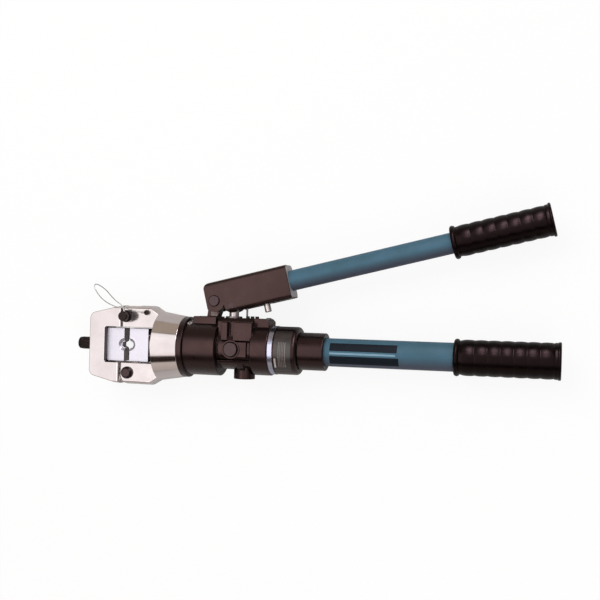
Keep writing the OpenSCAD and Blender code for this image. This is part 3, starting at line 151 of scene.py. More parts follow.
def fresh_tree(owner: bpy.types.Material | bpy.types.World) -> Tree:
    """Empty the nodes of a material or a world.

    Args:
        owner: The material or the world.

    Returns:
        Its node tree, with no node in it.
    """
    owner.use_nodes = True
    owner.node_tree.nodes.clear()
    return owner.node_tree


@dataclass(frozen=True)
class ToolFrame:
    """Places on the tool, in millimetres from the head's seam, turned into the row frame."""

    middle_x: float = 155.05
    middle_y: float = 65.85
    axis_z: float = 43.0

    def point(self, x: float, y: float, z: float) -> Point:
        """Return a place of the tool in row metres."""
        return ((x - self.middle_x) * MM, (y - self.middle_y) * MM, (z + self.axis_z) * MM)

    def shift(self) -> Array:
        """Return where the tool's origin lies in the row frame, in millimetres."""
        return np.array([-self.middle_x, -self.middle_y, self.axis_z])

    def points(self, places: Array) -> Array:
        """Return an array of places, any shape ending in 3, in row metres."""
        return (places + self.shift()) * MM

    def places(self, points: Array) -> Array:
        """Return an array of row metres, any shape ending in 3, as places of the tool."""
        return points / MM - self.shift()


TOOL = ToolFrame()


@dataclass(frozen=True)
class LeverLine:
    """The pump lever's axis: its pivot, its lean and the tube's height above the pivot."""

    pivot_x: float = 40.5
    pivot_y: float = 58.0
    lean_deg: float = 14.0
    tube_v: float = 3.75

    def heading(self) -> Point:
        """Return the direction of the lever, from its pivot to its grip."""
        return (math.cos(math.radians(self.lean_deg)), math.sin(math.radians(self.lean_deg)), 0.0)

    def to_tool(self, local: Array) -> Array:
        """Turn places along the lever tube's axis by the lean and set them on the pivot.

        Args:
            local: Array ending in 3: along the tube, across it and up.

        Returns:
            The same places in the tool's millimetres.
        """
        cos, sin, _ = self.heading()
        along, across = local[..., 0], local[..., 1] + self.tube_v
        x = self.pivot_x + along * cos - across * sin
        y = self.pivot_y + along * sin + across * cos
        return np.stack([x, y, local[..., 2]], axis=-1)


LEVER = LeverLine()


class Grain(Enum):
    """How a surface was made, which sets its fine relief."""

    PEEL = "sprayed enamel, a soft orange peel"
    GROUND = "ground flat, fine lines across the head"
    TURNED = "turned, fine rings about the tool's axis"
    MOULDED = "moulded, a faint matt grain"


@dataclass(frozen=True)
class FaceTint:
    """A second colour on the faces that look one way, such as a bare machined end.

    The tint grows as the face's direction along the axis, one way or either way,
    goes from the first to the second value of the span. It can stop at a box, given
    as its lowest and highest place along and across the tool in millimetres.
    """

    colour: str
    axis: Point
    span: Span
    box: tuple[float, float, float, float] | None = None
    one_way: bool = False

    def mask(self, tree: Tree, place: bpy.types.Node) -> Socket:
        """Return the tint's share, from 0 to 1.

        Args:
            tree: The material's nodes.
            place: Its texture coordinates.

        Returns:
            The socket of the share.
        """
        along = add_node(tree, "ShaderNodeVectorMath", {
            0: place.outputs["Normal"], 1: self.axis}, operation="DOT_PRODUCT").outputs["Value"]
        inside = remap(tree, maths(tree, "MAXIMUM" if self.one_way else "ABSOLUTE", along, 0.0), self.span)
        if self.box is None:
            return inside
        x0, y0, x1, y1 = self.box
        xyz = add_node(tree, "ShaderNodeSeparateXYZ", {"Vector": place.outputs["Object"]})
        for axis, low, high in zip("XY", TOOL.point(x0, y0, 0.0), TOOL.point(x1, y1, 0.0)):
            for test, limit in (("GREATER_THAN", low), ("LESS_THAN", high)):
                inside = maths(tree, "MULTIPLY", inside, maths(tree, test, xyz.outputs[axis], limit))
        return inside


# The cloud's values over which a finish changes from its shade to its base colour, and in gloss.
CLOUD_COLOUR: Span = (0.35, 0.65)
CLOUD_GLOSS: Span = (0.3, 0.7)
# How far a face turns away beside an edge where wear starts and is full, and how much of it shows.
WEAR_TURN: Span = (0.99, 0.86)
WEAR_SHARE: Span = (0.0, 0.7)
# Ground lines are long across the head, and a wave texture multiplies its places by a rate.
GROUND_STRETCH: Point = (1.0, 0.06, 1.0)
EVEN: Point = (1.0, 1.0, 1.0)
WAVE_RATE = 20.0


@dataclass(frozen=True)
class Finish:
    """One finish: colours, gloss and the fine relief that its making leaves."""

    name: str
    base: str
    shade: str
    metallic: float
    roughness: float
    spread: float
    mottle_mm: float
    grain: Grain
    grain_mm: float
    relief_mm: float
    specular: float = 0.5
    sheen_tint: str = "#ffffff"
    wear: str = ""
    wear_mm: float = 0.6
    tints: tuple[FaceTint, ...] = ()

    def build(self) -> bpy.types.Material:
        """Make the material: mottled colour, varied gloss, fine relief and worn edges.

        Returns:
            The material, named for the finish.
        """
        material = bpy.data.materials.new(self.name)
        tree = fresh_tree(material)
        place = add_node(tree, "ShaderNodeTexCoord")
        cloud = add_node(tree, "ShaderNodeTexNoise", {
            "Vector": place.outputs["Object"], "Scale": per_mm(self.mottle_mm),
            "Detail": 4.0, "Roughness": 0.6}).outputs["Fac"]
        colour = self._colour(tree, cloud)
        for tint in self.tints:
            colour = mix_colour(tree, tint.mask(tree, place), colour, tint.colour)
        gloss = remap(tree, cloud, CLOUD_GLOSS, (self.roughness - self.spread, self.roughness + self.spread))
        bump = add_node(tree, "ShaderNodeBump", {
            "Height": self._relief(tree, place), "Strength": 1.0, "Distance": self.relief_mm * MM})
        shader = add_node(tree, "ShaderNodeBsdfPrincipled", {
            "Base Color": colour, "Metallic": self.metallic, "Roughness": gloss,
            "Specular IOR Level": self.specular, "Specular Tint": linear(self.sheen_tint),
            "Normal": bump.outputs["Normal"]})
        add_node(tree, "ShaderNodeOutputMaterial", {"Surface": shader.outputs["BSDF"]})
        return material

    def _colour(self, tree: Tree, cloud: Socket) -> Socket:
        """Mix the base and the shade by the cloud, and show the wear colour along edges.

        Args:
            tree: The material's nodes.
            cloud: The mottle's value.

        Returns:
            The socket of the colour.
        """
        ramp = add_node(tree, "ShaderNodeValToRGB", {"Fac": cloud})
        for stop, position, code in zip(ramp.color_ramp.elements, CLOUD_COLOUR, (self.shade, self.base)):
            stop.position = position
            stop.color = linear(code)
        if not self.wear:
            return ramp.outputs["Color"]
        flat = add_node(tree, "ShaderNodeNewGeometry")
        edge = add_node(tree, "ShaderNodeBevel", {"Radius": self.wear_mm * MM}, samples=4)
        turn = add_node(tree, "ShaderNodeVectorMath", {
            0: flat.outputs["Normal"], 1: edge.outputs["Normal"]}, operation="DOT_PRODUCT")
        bare = remap(tree, turn.outputs["Value"], WEAR_TURN, WEAR_SHARE)
        return mix_colour(tree, maths(tree, "MULTIPLY", bare, cloud), ramp.outputs["Color"], self.wear)

    def _relief(self, tree: Tree, place: bpy.types.Node) -> Socket:
        """Make the fine relief of this finish's grain.

        Args:
            tree: The material's nodes.
            place: Its texture coordinates.

        Returns:
            The socket of the relief's height.
        """
        if self.grain is Grain.TURNED:
            return add_node(tree, "ShaderNodeTexWave", {
                "Vector": place.outputs["Object"], "Scale": per_mm(self.grain_mm) / WAVE_RATE,
                "Distortion": 0.6, "Detail": 2.0, "Detail Scale": 1.5},
                wave_type="BANDS", bands_direction="X").outputs["Fac"]
        stretch = GROUND_STRETCH if self.grain is Grain.GROUND else EVEN
        laid = add_node(tree, "ShaderNodeMapping", {"Vector": place.outputs["Object"], "Scale": stretch})
        return add_node(tree, "ShaderNodeTexNoise", {
            "Vector": laid.outputs["Vector"], "Scale": per_mm(self.grain_mm),
            "Detail": 2.0, "Roughness": 0.5}).outputs["Fac"]


# Painted shade: the upright walls of the die window are darkened where the window's depth keeps light out.
WINDOW_SHADE = FaceTint("#3a302e", UP, (0.6, 0.35), (-104.5, -22.8, -30.5, 22.8))
# Satin nickel plate over ground steel: nearly white, with soft clear reflections.
NICKEL = Finish("satin_nickel_plate", "#c4bdbb", "#bcb4b2", 1.0, 0.13, 0.03, 30.0,
                Grain.GROUND, 0.9, 0.0012, tints=(WINDOW_SHADE,))
# Painted shade on the dies' upright flanks, which darkens the gap between them, and a painted shadow over the
# moving die's foot where it meets the neck.
DIE_GAP_SHADE = FaceTint("#b4acae", UP, (0.5, 0.3))
DIE_FOOT_SHADOW = FaceTint("#241c1c", UP, (-1.0, -0.5), (-47.6, -30.0, -40.0, 30.0))
# Ground tool steel of the dies: bluish white.
DIE_STEEL = Finish("ground_tool_steel", "#c6c4cc", "#bdbbc4", 0.8, 0.42, 0.04, 12.0,
                   Grain.GROUND, 0.7, 0.0015, tints=(DIE_GAP_SHADE, DIE_FOOT_SHADOW))
# Bare turned steel: grey with fine rings.
BRIGHT_STEEL = Finish("turned_bright_steel", "#b4aca9", "#a09997", 1.0, 0.24, 0.06, 6.0,
                      Grain.TURNED, 1.0, 0.004)
# Light stranded steel wire.
WIRE = Finish("stranded_steel_wire", "#b9bab6", "#a9aaa6", 1.0, 0.34, 0.06, 3.0,
              Grain.MOULDED, 0.6, 0.004)
# Dull machined steel of glands, plugs and stop pins.
DULL_STEEL = Finish("dull_machined_steel", "#7d7673", "#67605e", 1.0, 0.38, 0.06, 6.0,
                    Grain.TURNED, 1.0, 0.005)
# Black-oxide steel: brown black, oily, with brighter worn edges.
OXIDE = Finish("black_oxide_steel", "#0d0808", "#090606", 0.0, 0.3, 0.07, 5.0,
               Grain.MOULDED, 0.8, 0.004, specular=0.22, sheen_tint="#ffdcd8", wear="#4a403d", wear_mm=0.3)
# Black-oxide heads whose flat ends carry a painted highlight, a lighter brown grey for the light that gleams
# on them from above.
PAINTED_END_SHEEN = FaceTint("#3b2f33", UP, (0.95, 0.99))
OXIDE_END_SHEEN = Finish("oxide_heads_painted_sheen", "#0d0808", "#090606", 0.0, 0.34, 0.06, 3.0,
                Grain.TURNED, 0.8, 0.005, specular=0.3, sheen_tint="#ffdcd8", wear="#4a403d", wear_mm=0.3,
                tints=(PAINTED_END_SHEEN,))
# The lever lug's foot, whose faces that look straight up or down are painted light grey.
LUG_FOOT = FaceTint("#877f7b", UP, (0.9, 0.97), (34.0, 39.5, 42.0, 46.0))
# Gloss black enamel on the cast pump body: brown black, wet highlights, orange peel.
ENAMEL = Finish("gloss_black_enamel", "#090405", "#070303", 0.0, 0.29, 0.05, 18.0,
                Grain.PEEL, 2.2, 0.008, specular=0.35, sheen_tint="#ffcfcb", wear="#2c2020", wear_mm=0.5,
                tints=(LUG_FOOT,))
# Satin black enamel on the lever bracket, which looks brown grey, and the bracket's bare end.
BRACKET_END = FaceTint("#a8a5a6", LEVER.heading(), (0.9, 0.97))
SATIN = Finish("satin_black_enamel", "#1a1112", "#150d0e", 0.0, 0.3, 0.04, 14.0,
               Grain.PEEL, 1.6, 0.008, specular=0.35, sheen_tint="#ffd2ca", wear="#3a2e2c", wear_mm=0.5,
               tints=(BRACKET_END,))
# Teal grey enamel on the steel tubes: satin, with a faint cloudiness and painted slate shade on the low side.
LOW_SIDE_SHADE = FaceTint("#4b515e", (0.0, -1.0, 0.0), (0.05, 0.75), one_way=True)
TEAL = Finish("teal_grey_enamel", "#4e7387", "#496c7d", 0.0, 0.42, 0.06, 26.0,
              Grain.PEEL, 1.8, 0.01, specular=0.08, tints=(LOW_SIDE_SHADE,))
# Dipped vinyl of the hand grips: black with a brown cast, glossy and a little uneven.
VINYL = Finish("glossy_black_vinyl", "#060304", "#040202", 0.0, 0.3, 0.05, 9.0,
               Grain.MOULDED, 1.1, 0.01, specular=0.1, sheen_tint="#ffd0cf")
# Soft black rubber of the seals.
RUBBER = Finish("matt_seal_rubber", "#161414", "#100f0f", 0.0, 0.62, 0.06, 4.0, Grain.MOULDED, 0.6, 0.02)
# Polished aluminium band: cool silver with fine turned rings.
SILVER = Finish("polished_aluminium", "#9c9eae", "#9092a2", 1.0, 0.26, 0.05, 8.0, Grain.TURNED, 0.9, 0.004)
# Turned bronze of the guide bush, and the copper-alloy pipe.
BRONZE = Finish("turned_bronze", "#b07c46", "#9a6b3b", 1.0, 0.3, 0.06, 5.0, Grain.TURNED, 0.8, 0.004)
# Ivory nylon of the backup ring.
NYLON = Finish("ivory_nylon", "#e2dcc6", "#d6cfb6", 0.0, 0.45, 0.05, 5.0, Grain.MOULDED, 0.7, 0.01)
# Plastic film of the plain label: brown black with a soft sheen.
FILM = Finish("plain_label_film", "#2a2120", "#231b1a", 0.0, 0.36, 0.04, 10.0, Grain.MOULDED, 1.0, 0.002)
# Navy ink printed on the tube.
INK = Finish("navy_printed_ink", "#101922", "#0d151d", 0.0, 0.55, 0.05, 12.0,
             Grain.PEEL, 1.8, 0.004, specular=0.1)
# Pale blue ink of the thin stripe.
PALE_INK = Finish("pale_blue_ink", "#7fa6ba", "#749bb0", 0.0, 0.4, 0.05, 12.0, Grain.PEEL, 1.8, 0.004)
# Warm grey ink of the label's hairlines.
GREY_INK = Finish("warm_grey_ink", "#8f857f", "#7d746f", 0.0, 0.45, 0.05, 6.0, Grain.MOULDED, 1.0, 0.002)
# Light grey ink of the label's plain bar.
LIGHT_INK = Finish("light_grey_ink", "#b9b2ad", "#aba49f", 0.0, 0.45, 0.05, 6.0, Grain.MOULDED, 1.0, 0.002)

NODE_FINISHES: dict[Finish, tuple[str, ...]] = {
    NICKEL: ("crimp_head", "latch_yoke"),
    DIE_STEEL: ("fixed_die", "moving_die"),
    BRIGHT_STEEL: ("ram", "pump_plunger", "release_stem", "release_peg", "set_screw", "relief_ball",
                   "inlet_ball", "release_ball", "lanyard_eye", "lanyard_tab", "ram_spring", "knob_spring",
                   "relief_spring", "inlet_spring", "release_spring", "bladder_clamp"),
    OXIDE: ("hinge_clip", "latch_pin", "die_knob", "pivot_clip", "top_screw_1", "top_screw_2",
            "top_screw_3", "lanyard_screw"),
    OXIDE_END_SHEEN: ("hinge_pin", "pivot_pin", "side_plug", "link_pin"),
    DULL_STEEL: ("stop_pin", "bottom_plug", "plunger_gland", "release_gland", "knob_bush", "tube_plug",
                 "lever_plug"),
    ENAMEL: ("pump_body", "reservoir_collar", "handle_socket"),
    SATIN: ("lever_bracket",),
    TEAL: ("handle_tube", "lever_tube"),
    VINYL: ("handle_grip", "lever_grip"),
    RUBBER: ("piston_seal", "ram_wiper", "head_oring", "plunger_seal", "oil_bladder"),
    SILVER: ("trim_band",),
    BRONZE: ("guide_bush", "oil_pipe"),
    NYLON: ("backup_ring",),
    FILM: ("label",),
}


def dress(piece: Object, finish: Finish) -> None:
    """Give a whole piece one finish, whose material is made at its first use."""
    piece.data.materials.clear()
    piece.data.materials.append(bpy.data.materials.get(finish.name) or finish.build())


def around(count: int) -> Array:
    """Return evenly spaced angles of one full turn."""
    return np.linspace(0.0, 2.0 * np.pi, count, endpoint=False)


def unit(vectors: Array) -> Array:
    """Return vectors, any shape ending in 3, at length 1."""
    return vectors / np.linalg.norm(vectors, axis=-1, keepdims=True)


def grid_faces(rows: int, columns: int, wrap: bool) -> Array:
    """Work out the quads of a grid of points.

    Args:
        rows: Points along the first parameter.
        columns: Points along the second parameter.
        wrap: True where the last column joins the first.

    Returns:
        One row of four point numbers per quad.
    """
    i, j = np.meshgrid(np.arange(rows - 1), np.arange(columns if wrap else columns - 1), indexing="ij")
    k = (j + 1) % columns
    here, there = i * columns, (i + 1) * columns
    return np.stack([here + j, here + k, there + k, there + j], axis=-1).reshape(-1, 4)


def add_object(name: str, data: bpy.types.ID) -> Object:
    """Put a new object into the scene.

    Args:
        name: Name of the object.
        data: Its mesh, lamp or camera.

    Returns:
        The object, at the origin.
    """
    added = bpy.data.objects.new(name, data)
    bpy.context.scene.collection.objects.link(added)
    return added


def set_pose(stood: Object, *columns: Array) -> None:
    """Stand an object by its right, up and back directions and its place in row metres."""
    stood.matrix_world = Matrix(np.vstack([np.stack(columns, axis=-1), np.eye(4)[3]]).tolist())


def new_piece(name: str, points: Array, faces: Array) -> Object:
    """Make a smooth mesh object from points in row metres.

    Args:
        name: Name of the piece.
        points: Array ending in 3.
        faces: Quads as point numbers.

    Returns:
        The object, at the origin, with merged seams and faces that point outwards.
    """
    mesh = bpy.data.meshes.new(name)
    mesh.from_pydata(points.reshape(-1, 3).tolist(), [], faces.tolist())
    work = bmesh.new()
    work.from_mesh(mesh)
    bmesh.ops.remove_doubles(work, verts=work.verts, dist=SEAM)
    bmesh.ops.dissolve_degenerate(work, edges=work.edges, dist=SLIVER)
    bmesh.ops.recalc_face_normals(work, faces=work.faces)
    work.to_mesh(mesh)
    work.free()
    mesh.polygons.foreach_set("use_smooth", np.full(len(mesh.polygons), True))
    return add_object(name, mesh)


def revolve(profile: Array, sides: int) -> tuple[Array, Array]:
    """Turn a profile about the tool's X axis.

    Each point is (x, r cos a, r sin a) for the profile's place x and radius r.

    Args:
        profile: Rows of place and radius.
        sides: Steps around the axis.

    Returns:
        Points as rows by sides by 3, and the quads.
    """
    angle = around(sides)
    x, r = profile[:, :1], profile[:, 1:]
    points = np.stack(np.broadcast_arrays(x, r * np.cos(angle), r * np.sin(angle)), axis=-1)
    return points, grid_faces(len(profile), sides, True)


def capped(line: Array, ring: Array) -> Array:
    """Carry rings along a line, and close both ends at the line's own end points."""
    closed = np.zeros_like(ring[:1])
    return np.concatenate([line[:1, None] + closed, line[:, None] + ring, line[-1:, None] + closed])


def read_ints(items: bpy.types.bpy_prop_collection, name: str) -> Array:
    """Read one whole-number property of every item of a mesh.

    Args:
        items: The mesh's loops or polygons.
        name: Name of the property.

    Returns:
        Its values, in the items' order.
    """
    values = np.empty(len(items), dtype=np.int32)
    items.foreach_get(name, values)
    return values


@dataclass(frozen=True)
class HeadPlan:
    """Where the head's flats, window, bores and neck lie, in tool millimetres."""

    flat_z: float = 17.0
    flat_slack: float = 0.05
    window_x: float = -104.5
    window_half: float = 23.2
    neck_x: float = -33.0
    bores: tuple[Span, ...] = ((-71.5, 36.1), (-71.5, -34.5), (-46.5, 41.2))
    bore_keep: float = 9.0

    def on_rim(self, edge: Edge) -> bool:
        """Say whether an edge lies on a flat, outside the window, the bores and the neck.

        Args:
            edge: An edge of the head or the yoke.

        Returns:
            True where the edge is part of the flats' outline.
        """
        x, y, z = TOOL.places(np.array([vert.co for vert in edge.verts]).mean(axis=0))
        window = x > self.window_x and abs(y) < self.window_half
        bored = any(math.hypot(x - bore_x, y - bore_y) < self.bore_keep for bore_x, bore_y in self.bores)
        flat = abs(abs(z) - self.flat_z) < self.flat_slack
        return flat and x < self.neck_x and not window and not bored


HEAD = HeadPlan()


@dataclass
class RibbedGrip:
    """Dipped hand grip with a rolled bead, soft swells and a plain end with a small lip."""

    node: str
    body: str
    start: float
    end: float
    bore_r: float
    flange_r: float
    swell_r: float
    lever: bool = False
    hollow: float = 0.8
    bead_w: float = 6.0
    bead_r: float = 2.4
    plain: float = 3.0
    end_plain: float = 8.0
    ease: Span = (0.8, 2.0)
    ease_drop: float = 0.15
    lip_w: float = 3.6
    lip_gap: float = 0.3
    end_round: float = 1.5
    end_dish: float = 0.6
    end_wall: float = 3.0
    swells: int = 7
    swell_steps: int = 16
    swell_power: float = 0.75
    roll_steps: int = 12
    sides: int = 96
    crease_deg: float = 50.0

    def profile(self) -> Array:
        """Work out the grip's outline as place and radius.

        The bead is a half round. The swells are a rectified sine along the length, flattened
        by a power, so that narrow valleys part them. The lip at the end is a smaller half round.

        Returns:
            Rows of place and radius, from the bead's bore round to the bore again.
        """
        roll = np.linspace(0.0, np.pi, self.roll_steps + 1)
        half, root, top = self.bead_w / 2, self.swell_r - self.hollow, self.swell_r
        bead_low = self.flange_r - self.bead_r
        bead = np.stack([self.start + half - half * np.cos(roll),
                         bead_low + self.bead_r * np.sin(roll)], axis=-1)
        span = np.linspace(0.0, 1.0, self.swells * self.swell_steps + 1)
        x0, x1 = self.start + self.bead_w + self.plain, self.end - self.end_plain
        lift = np.abs(np.sin(np.pi * self.swells * span)) ** self.swell_power
        wave = np.stack([x0 + (x1 - x0) * span, root + self.hollow * lift], axis=-1)
        lip_x = self.end - self.lip_w
        neck = np.array([[x1 + self.ease[0], top - self.ease_drop], [x1 + self.ease[1], top],
                         [lip_x - self.lip_gap, top]])
        lip = np.stack([lip_x + self.lip_w / 2 * (1.0 - np.cos(roll)),
                        top + (self.flange_r - top) * np.sin(roll)], axis=-1)
        dish, wall = self.end - self.end_dish, self.end - self.end_wall
        close = np.array([[self.end, top - self.end_round], [dish, top - 2 * self.end_round], [dish, 0.0],
                          [wall, 0.0], [wall, self.bore_r], [self.start, self.bore_r],
                          [self.start, bead_low]])
        return np.concatenate([bead, wave, neck, lip, close])

    def build(self) -> Object:
        """Make the grip in place of its plain node and let it ride on its body.

        Returns:
            The grip.
        """
        points, faces = revolve(self.profile(), self.sides)
        places = LEVER.to_tool(points) if self.lever else points
        piece = new_piece(f"{self.node}_vinyl", TOOL.points(places), faces)
        dress(piece, VINYL)
        piece.data.set_sharp_from_angle(angle=math.radians(self.crease_deg))
        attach(piece, self.body)
        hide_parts(self.node)
        return piece


@dataclass
class SoftEdged:
    """A CAD node whose copy gets rounded edges, as casting and polishing leave them.

    Each run of edges gets the radius that its neighbours leave room for. The rim is
    the wider round along the outline of the head's flats. Sizes are in millimetres.
    """

    node: str
    body: str
    slot: str
    finish: Finish
    radius: float
    rim: float = 0.0
    seam: float = 0.002
    flat_deg: float = 0.6
    corner_deg: float = 35.0
    straight_cos: float = -0.85
    segments: int = 3
    margin: float = 0.97
    least: float = 0.12
    least_share: float = 0.3
    passes: int = 80
    least_sine: float = 1e-3
    tiny: float = 1e-9

    def build(self, nodes: dict[str, Object]) -> Object:
        """Merge a copy of the node's mesh, round its edges and put it in the node's place.

        Args:
            nodes: The frame's CAD objects.

        Returns:
            The rounded piece.
        """
        mesh = nodes[self.node].data.copy()
        mesh.name = f"{self.node}_soft"
        if "custom_normal" in mesh.attributes:
            mesh.attributes.remove(mesh.attributes["custom_normal"])
        owner, wanted = self._merge(mesh)
        widest = max(self.radius, self.rim)
        radius = np.append(self._fit(mesh, owner, wanted), 0.0)[owner]
        weight = mesh.attributes.new("bevel_weight_edge", "FLOAT", "EDGE")
        weight.data.foreach_set("value", radius / widest)
        mesh.polygons.foreach_set("use_smooth", np.full(len(mesh.polygons), True))
        mesh.set_sharp_from_angle(angle=math.radians(self.corner_deg))
        piece = add_object(mesh.name, mesh)
        bevel = piece.modifiers.new("rounded_edges", "BEVEL")
        bevel.width = widest * MM
        bevel.segments = self.segments
        bevel.limit_method = "WEIGHT"
        bevel.use_clamp_overlap = True
        bevel.loop_slide = False
        bevel.harden_normals = True
        dress(piece, self.finish)
        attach(piece, self.body)
        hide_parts(self.node)
        return piece

    def _merge(self, mesh: bpy.types.Mesh) -> tuple[Array, Array]:
        """Join the mesh's seams and flat faces, and number the runs of its sharp edges.

        Args:
            mesh: The copied mesh, which is changed.

        Returns:
            The number of each edge's run, or -1, and the wished radius of each run.
        """
        work = bmesh.new()
        work.from_mesh(mesh)
        bmesh.ops.remove_doubles(work, verts=work.verts, dist=self.seam * MM)
        bmesh.ops.dissolve_limit(
            work, angle_limit=math.radians(self.flat_deg), verts=work.verts, edges=work.edges)
        work.edges.index_update()
        owner, wanted = np.full(len(work.edges), -1), []
        for run in self._runs(work):
            owner[[edge.index for edge in run]] = len(wanted)
            on_rim = self.rim > 0 and all(HEAD.on_rim(edge) for edge in run)
            wanted.append(self.rim if on_rim else self.radius)
        work.to_mesh(mesh)
        work.free()
        return owner, np.array(wanted)

    def _runs(self, work: bmesh.types.BMesh) -> list[list[Edge]]:
        """Gather the sharp edges into runs that go on without a corner.

        Args:
            work: The merged mesh.

        Returns:
            The edges of each run.
        """
        limit = math.radians(self.corner_deg)
        sharp = {edge for edge in work.edges if len(edge.link_faces) == 2 and edge.calc_face_angle() > limit}
        runs = []
        for first in work.edges:
            if first not in sharp:
                continue
            sharp.remove(first)
            run, todo = [], [first]
            while todo:
                edge = todo.pop()
                run.append(edge)
                follow = [other for vert in edge.verts for other in vert.link_edges
                          if other in sharp and self._straight_on(edge, other, vert)]
                sharp.difference_update(follow)
                todo.extend(follow)
            runs.append(run)
        return runs

    def _straight_on(self, edge: Edge, other: Edge, vert: bmesh.types.BMVert) -> bool:
        """Say whether two edges that meet at a point run on in nearly one line."""
        first, second = (part.other_vert(vert).co - vert.co for part in (edge, other))
        return first.normalized().dot(second.normalized()) < self.straight_cos

    def _fit(self, mesh: bpy.types.Mesh, owner: Array, wanted: Array) -> Array:
        """Narrow each run's round until the rounds leave something of every edge they meet.

        With the radii ka, kb and kc of three edges that follow each other round a face,
        and the corners p and q between them, the rounds use up the length
        (ka + kb cos p) / sin p + (kc + kb cos q) / sin q of the middle edge. Where a
        neighbour isn't rounded, the middle edge's round takes kb / sin of it.

        Args:
            mesh: The merged mesh.
            owner: The number of each edge's run, or -1.
            wanted: The wished radius of each run.

        Returns:
            The radius that each run can have, 0 where there is no room for one.
        """
        corner, edge = read_ints(mesh.loops, "vertex_index"), read_ints(mesh.loops, "edge_index")
        start, total = read_ints(mesh.polygons, "loop_start"), read_ints(mesh.polygons, "loop_total")
        after = np.arange(len(corner)) + 1
        after[start + total - 1] = start
        before = np.empty_like(after)
        before[after] = np.arange(len(after))
        points = np.empty(len(mesh.vertices) * 3)
        mesh.vertices.foreach_get("co", points)
        points = points.reshape(-1, 3) / MM
        along = points[corner[after]] - points[corner]
        length, way = np.linalg.norm(along, axis=1), unit(along)
        cos_p = -np.einsum("ij,ij->i", way[before], way)
        sin_p = np.sqrt(np.maximum(1 - cos_p ** 2, self.least_sine ** 2))
        cos_q, sin_q = cos_p[after], sin_p[after]
        radius = wanted.astype(float)
        for _ in range(self.passes):
            by_edge = np.append(radius, 0.0)[owner]
            ka, kb, kc = by_edge[edge[before]], by_edge[edge], by_edge[edge[after]]
            used = (ka + cos_p * kb) / sin_p + (kc + cos_q * kb) / sin_q
            room = np.minimum(np.where(ka == 0, length[before] * sin_p, np.inf),
                              np.where(kc == 0, length[after] * sin_q, np.inf))
            share = np.minimum(length / np.maximum(used, self.tiny), room / np.maximum(kb, self.tiny))
            if share.min() >= 1:
                break
            scale = np.ones(len(radius) + 1)
            for which in (edge[before], edge, edge[after]):
                np.minimum.at(scale, owner[which], share * self.margin)
            radius *= np.clip(scale[:-1], self.least_share, 1.0)
            radius[radius < self.least] = 0.0
        return radius


@dataclass
class PrintedPatch:
    """A thin printed or film patch that wraps part of a round surface about the tool's axis."""

    name: str
    finish: Finish
    slot: str
    radius: float
    x0: float
    x1: float
    deg0: float
    deg1: float
    thick: float = 0.08
    across: int = 25
    along: int = 9
    crease_deg: float = 40.0

    def build(self) -> Object:
        """Make the patch as a closed shell; angles run from straight up towards +Y.

        The shell is a rectangle of places and angles, carried once at the outer
        radius and back at the inner one, so its seam closes on itself.

        Returns:
            The patch.
        """
        turn = np.radians(np.linspace(self.deg0, self.deg1, self.across))
        loop = np.concatenate([turn, turn[::-1]])
        radii = np.repeat([self.radius + self.thick, self.radius], self.across)
        x = np.linspace(self.x0, self.x1, self.along)[:, None]
        points = np.stack(np.broadcast_arrays(x, radii * np.sin(loop), radii * np.cos(loop)), axis=-1)
        faces = [grid_faces(self.along, len(loop), True)]
        near = np.arange(self.across - 1)
        far = len(loop) - 1 - near
        for base in (0, (self.along - 1) * len(loop)):
            faces.append(base + np.stack([near, near + 1, far - 1, far], axis=-1))
        piece = new_piece(self.name, TOOL.points(points), np.concatenate(faces))
        piece.data.set_sharp_from_angle(angle=math.radians(self.crease_deg))
        dress(piece, self.finish)
        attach(piece, "tool")
        return piece


@dataclass
class KnurlSleeve:
    """Straight knurl on a round knob: many shallow ridges along its axis."""

    name: str
    body: str
    centre: Point
    along: int
    length: float
    radius: float
    ridges: int = 36
    ridge_steps: int = 8
    depth: float = 0.28
    place_shares: tuple[float, ...] = (0.0, 0.0, 0.06, 0.12, 0.5, 0.88, 0.94, 1.0, 1.0)
    ease_shares: tuple[float, ...] = (-0.6, 0.0, 0.7, 1.0, 1.0, 1.0, 0.7, 0.0, -0.6)

    def build(self) -> Object:
        """Make the sleeve: its radius is a rectified sine of the angle, eased at both ends.

        Returns:
            The sleeve, as a closed ring.
        """
        sides = self.ridges * self.ridge_steps
        angle = around(sides)
        share, ease = np.array(self.place_shares)[:, None], np.array(self.ease_shares)[:, None]
        ridge = self.depth * np.abs(np.sin(angle * self.ridges / 2.0))
        r = self.radius + ease * ridge + np.minimum(ease, 0.0)
        local = np.broadcast_arrays(share * self.length, r * np.cos(angle), r * np.sin(angle))
        points = np.roll(np.stack(local, axis=-1), self.along, axis=-1) + np.array(self.centre)
        here, then, last = np.arange(sides), (np.arange(sides) + 1) % sides, (len(share) - 1) * sides
        bore = np.stack([here, then, last + then, last + here], axis=-1)
        faces = np.concatenate([grid_faces(len(share), sides, True), bore])
        piece = new_piece(self.name, TOOL.points(points), faces)
        dress(piece, OXIDE)
        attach(piece, self.body)
        return piece


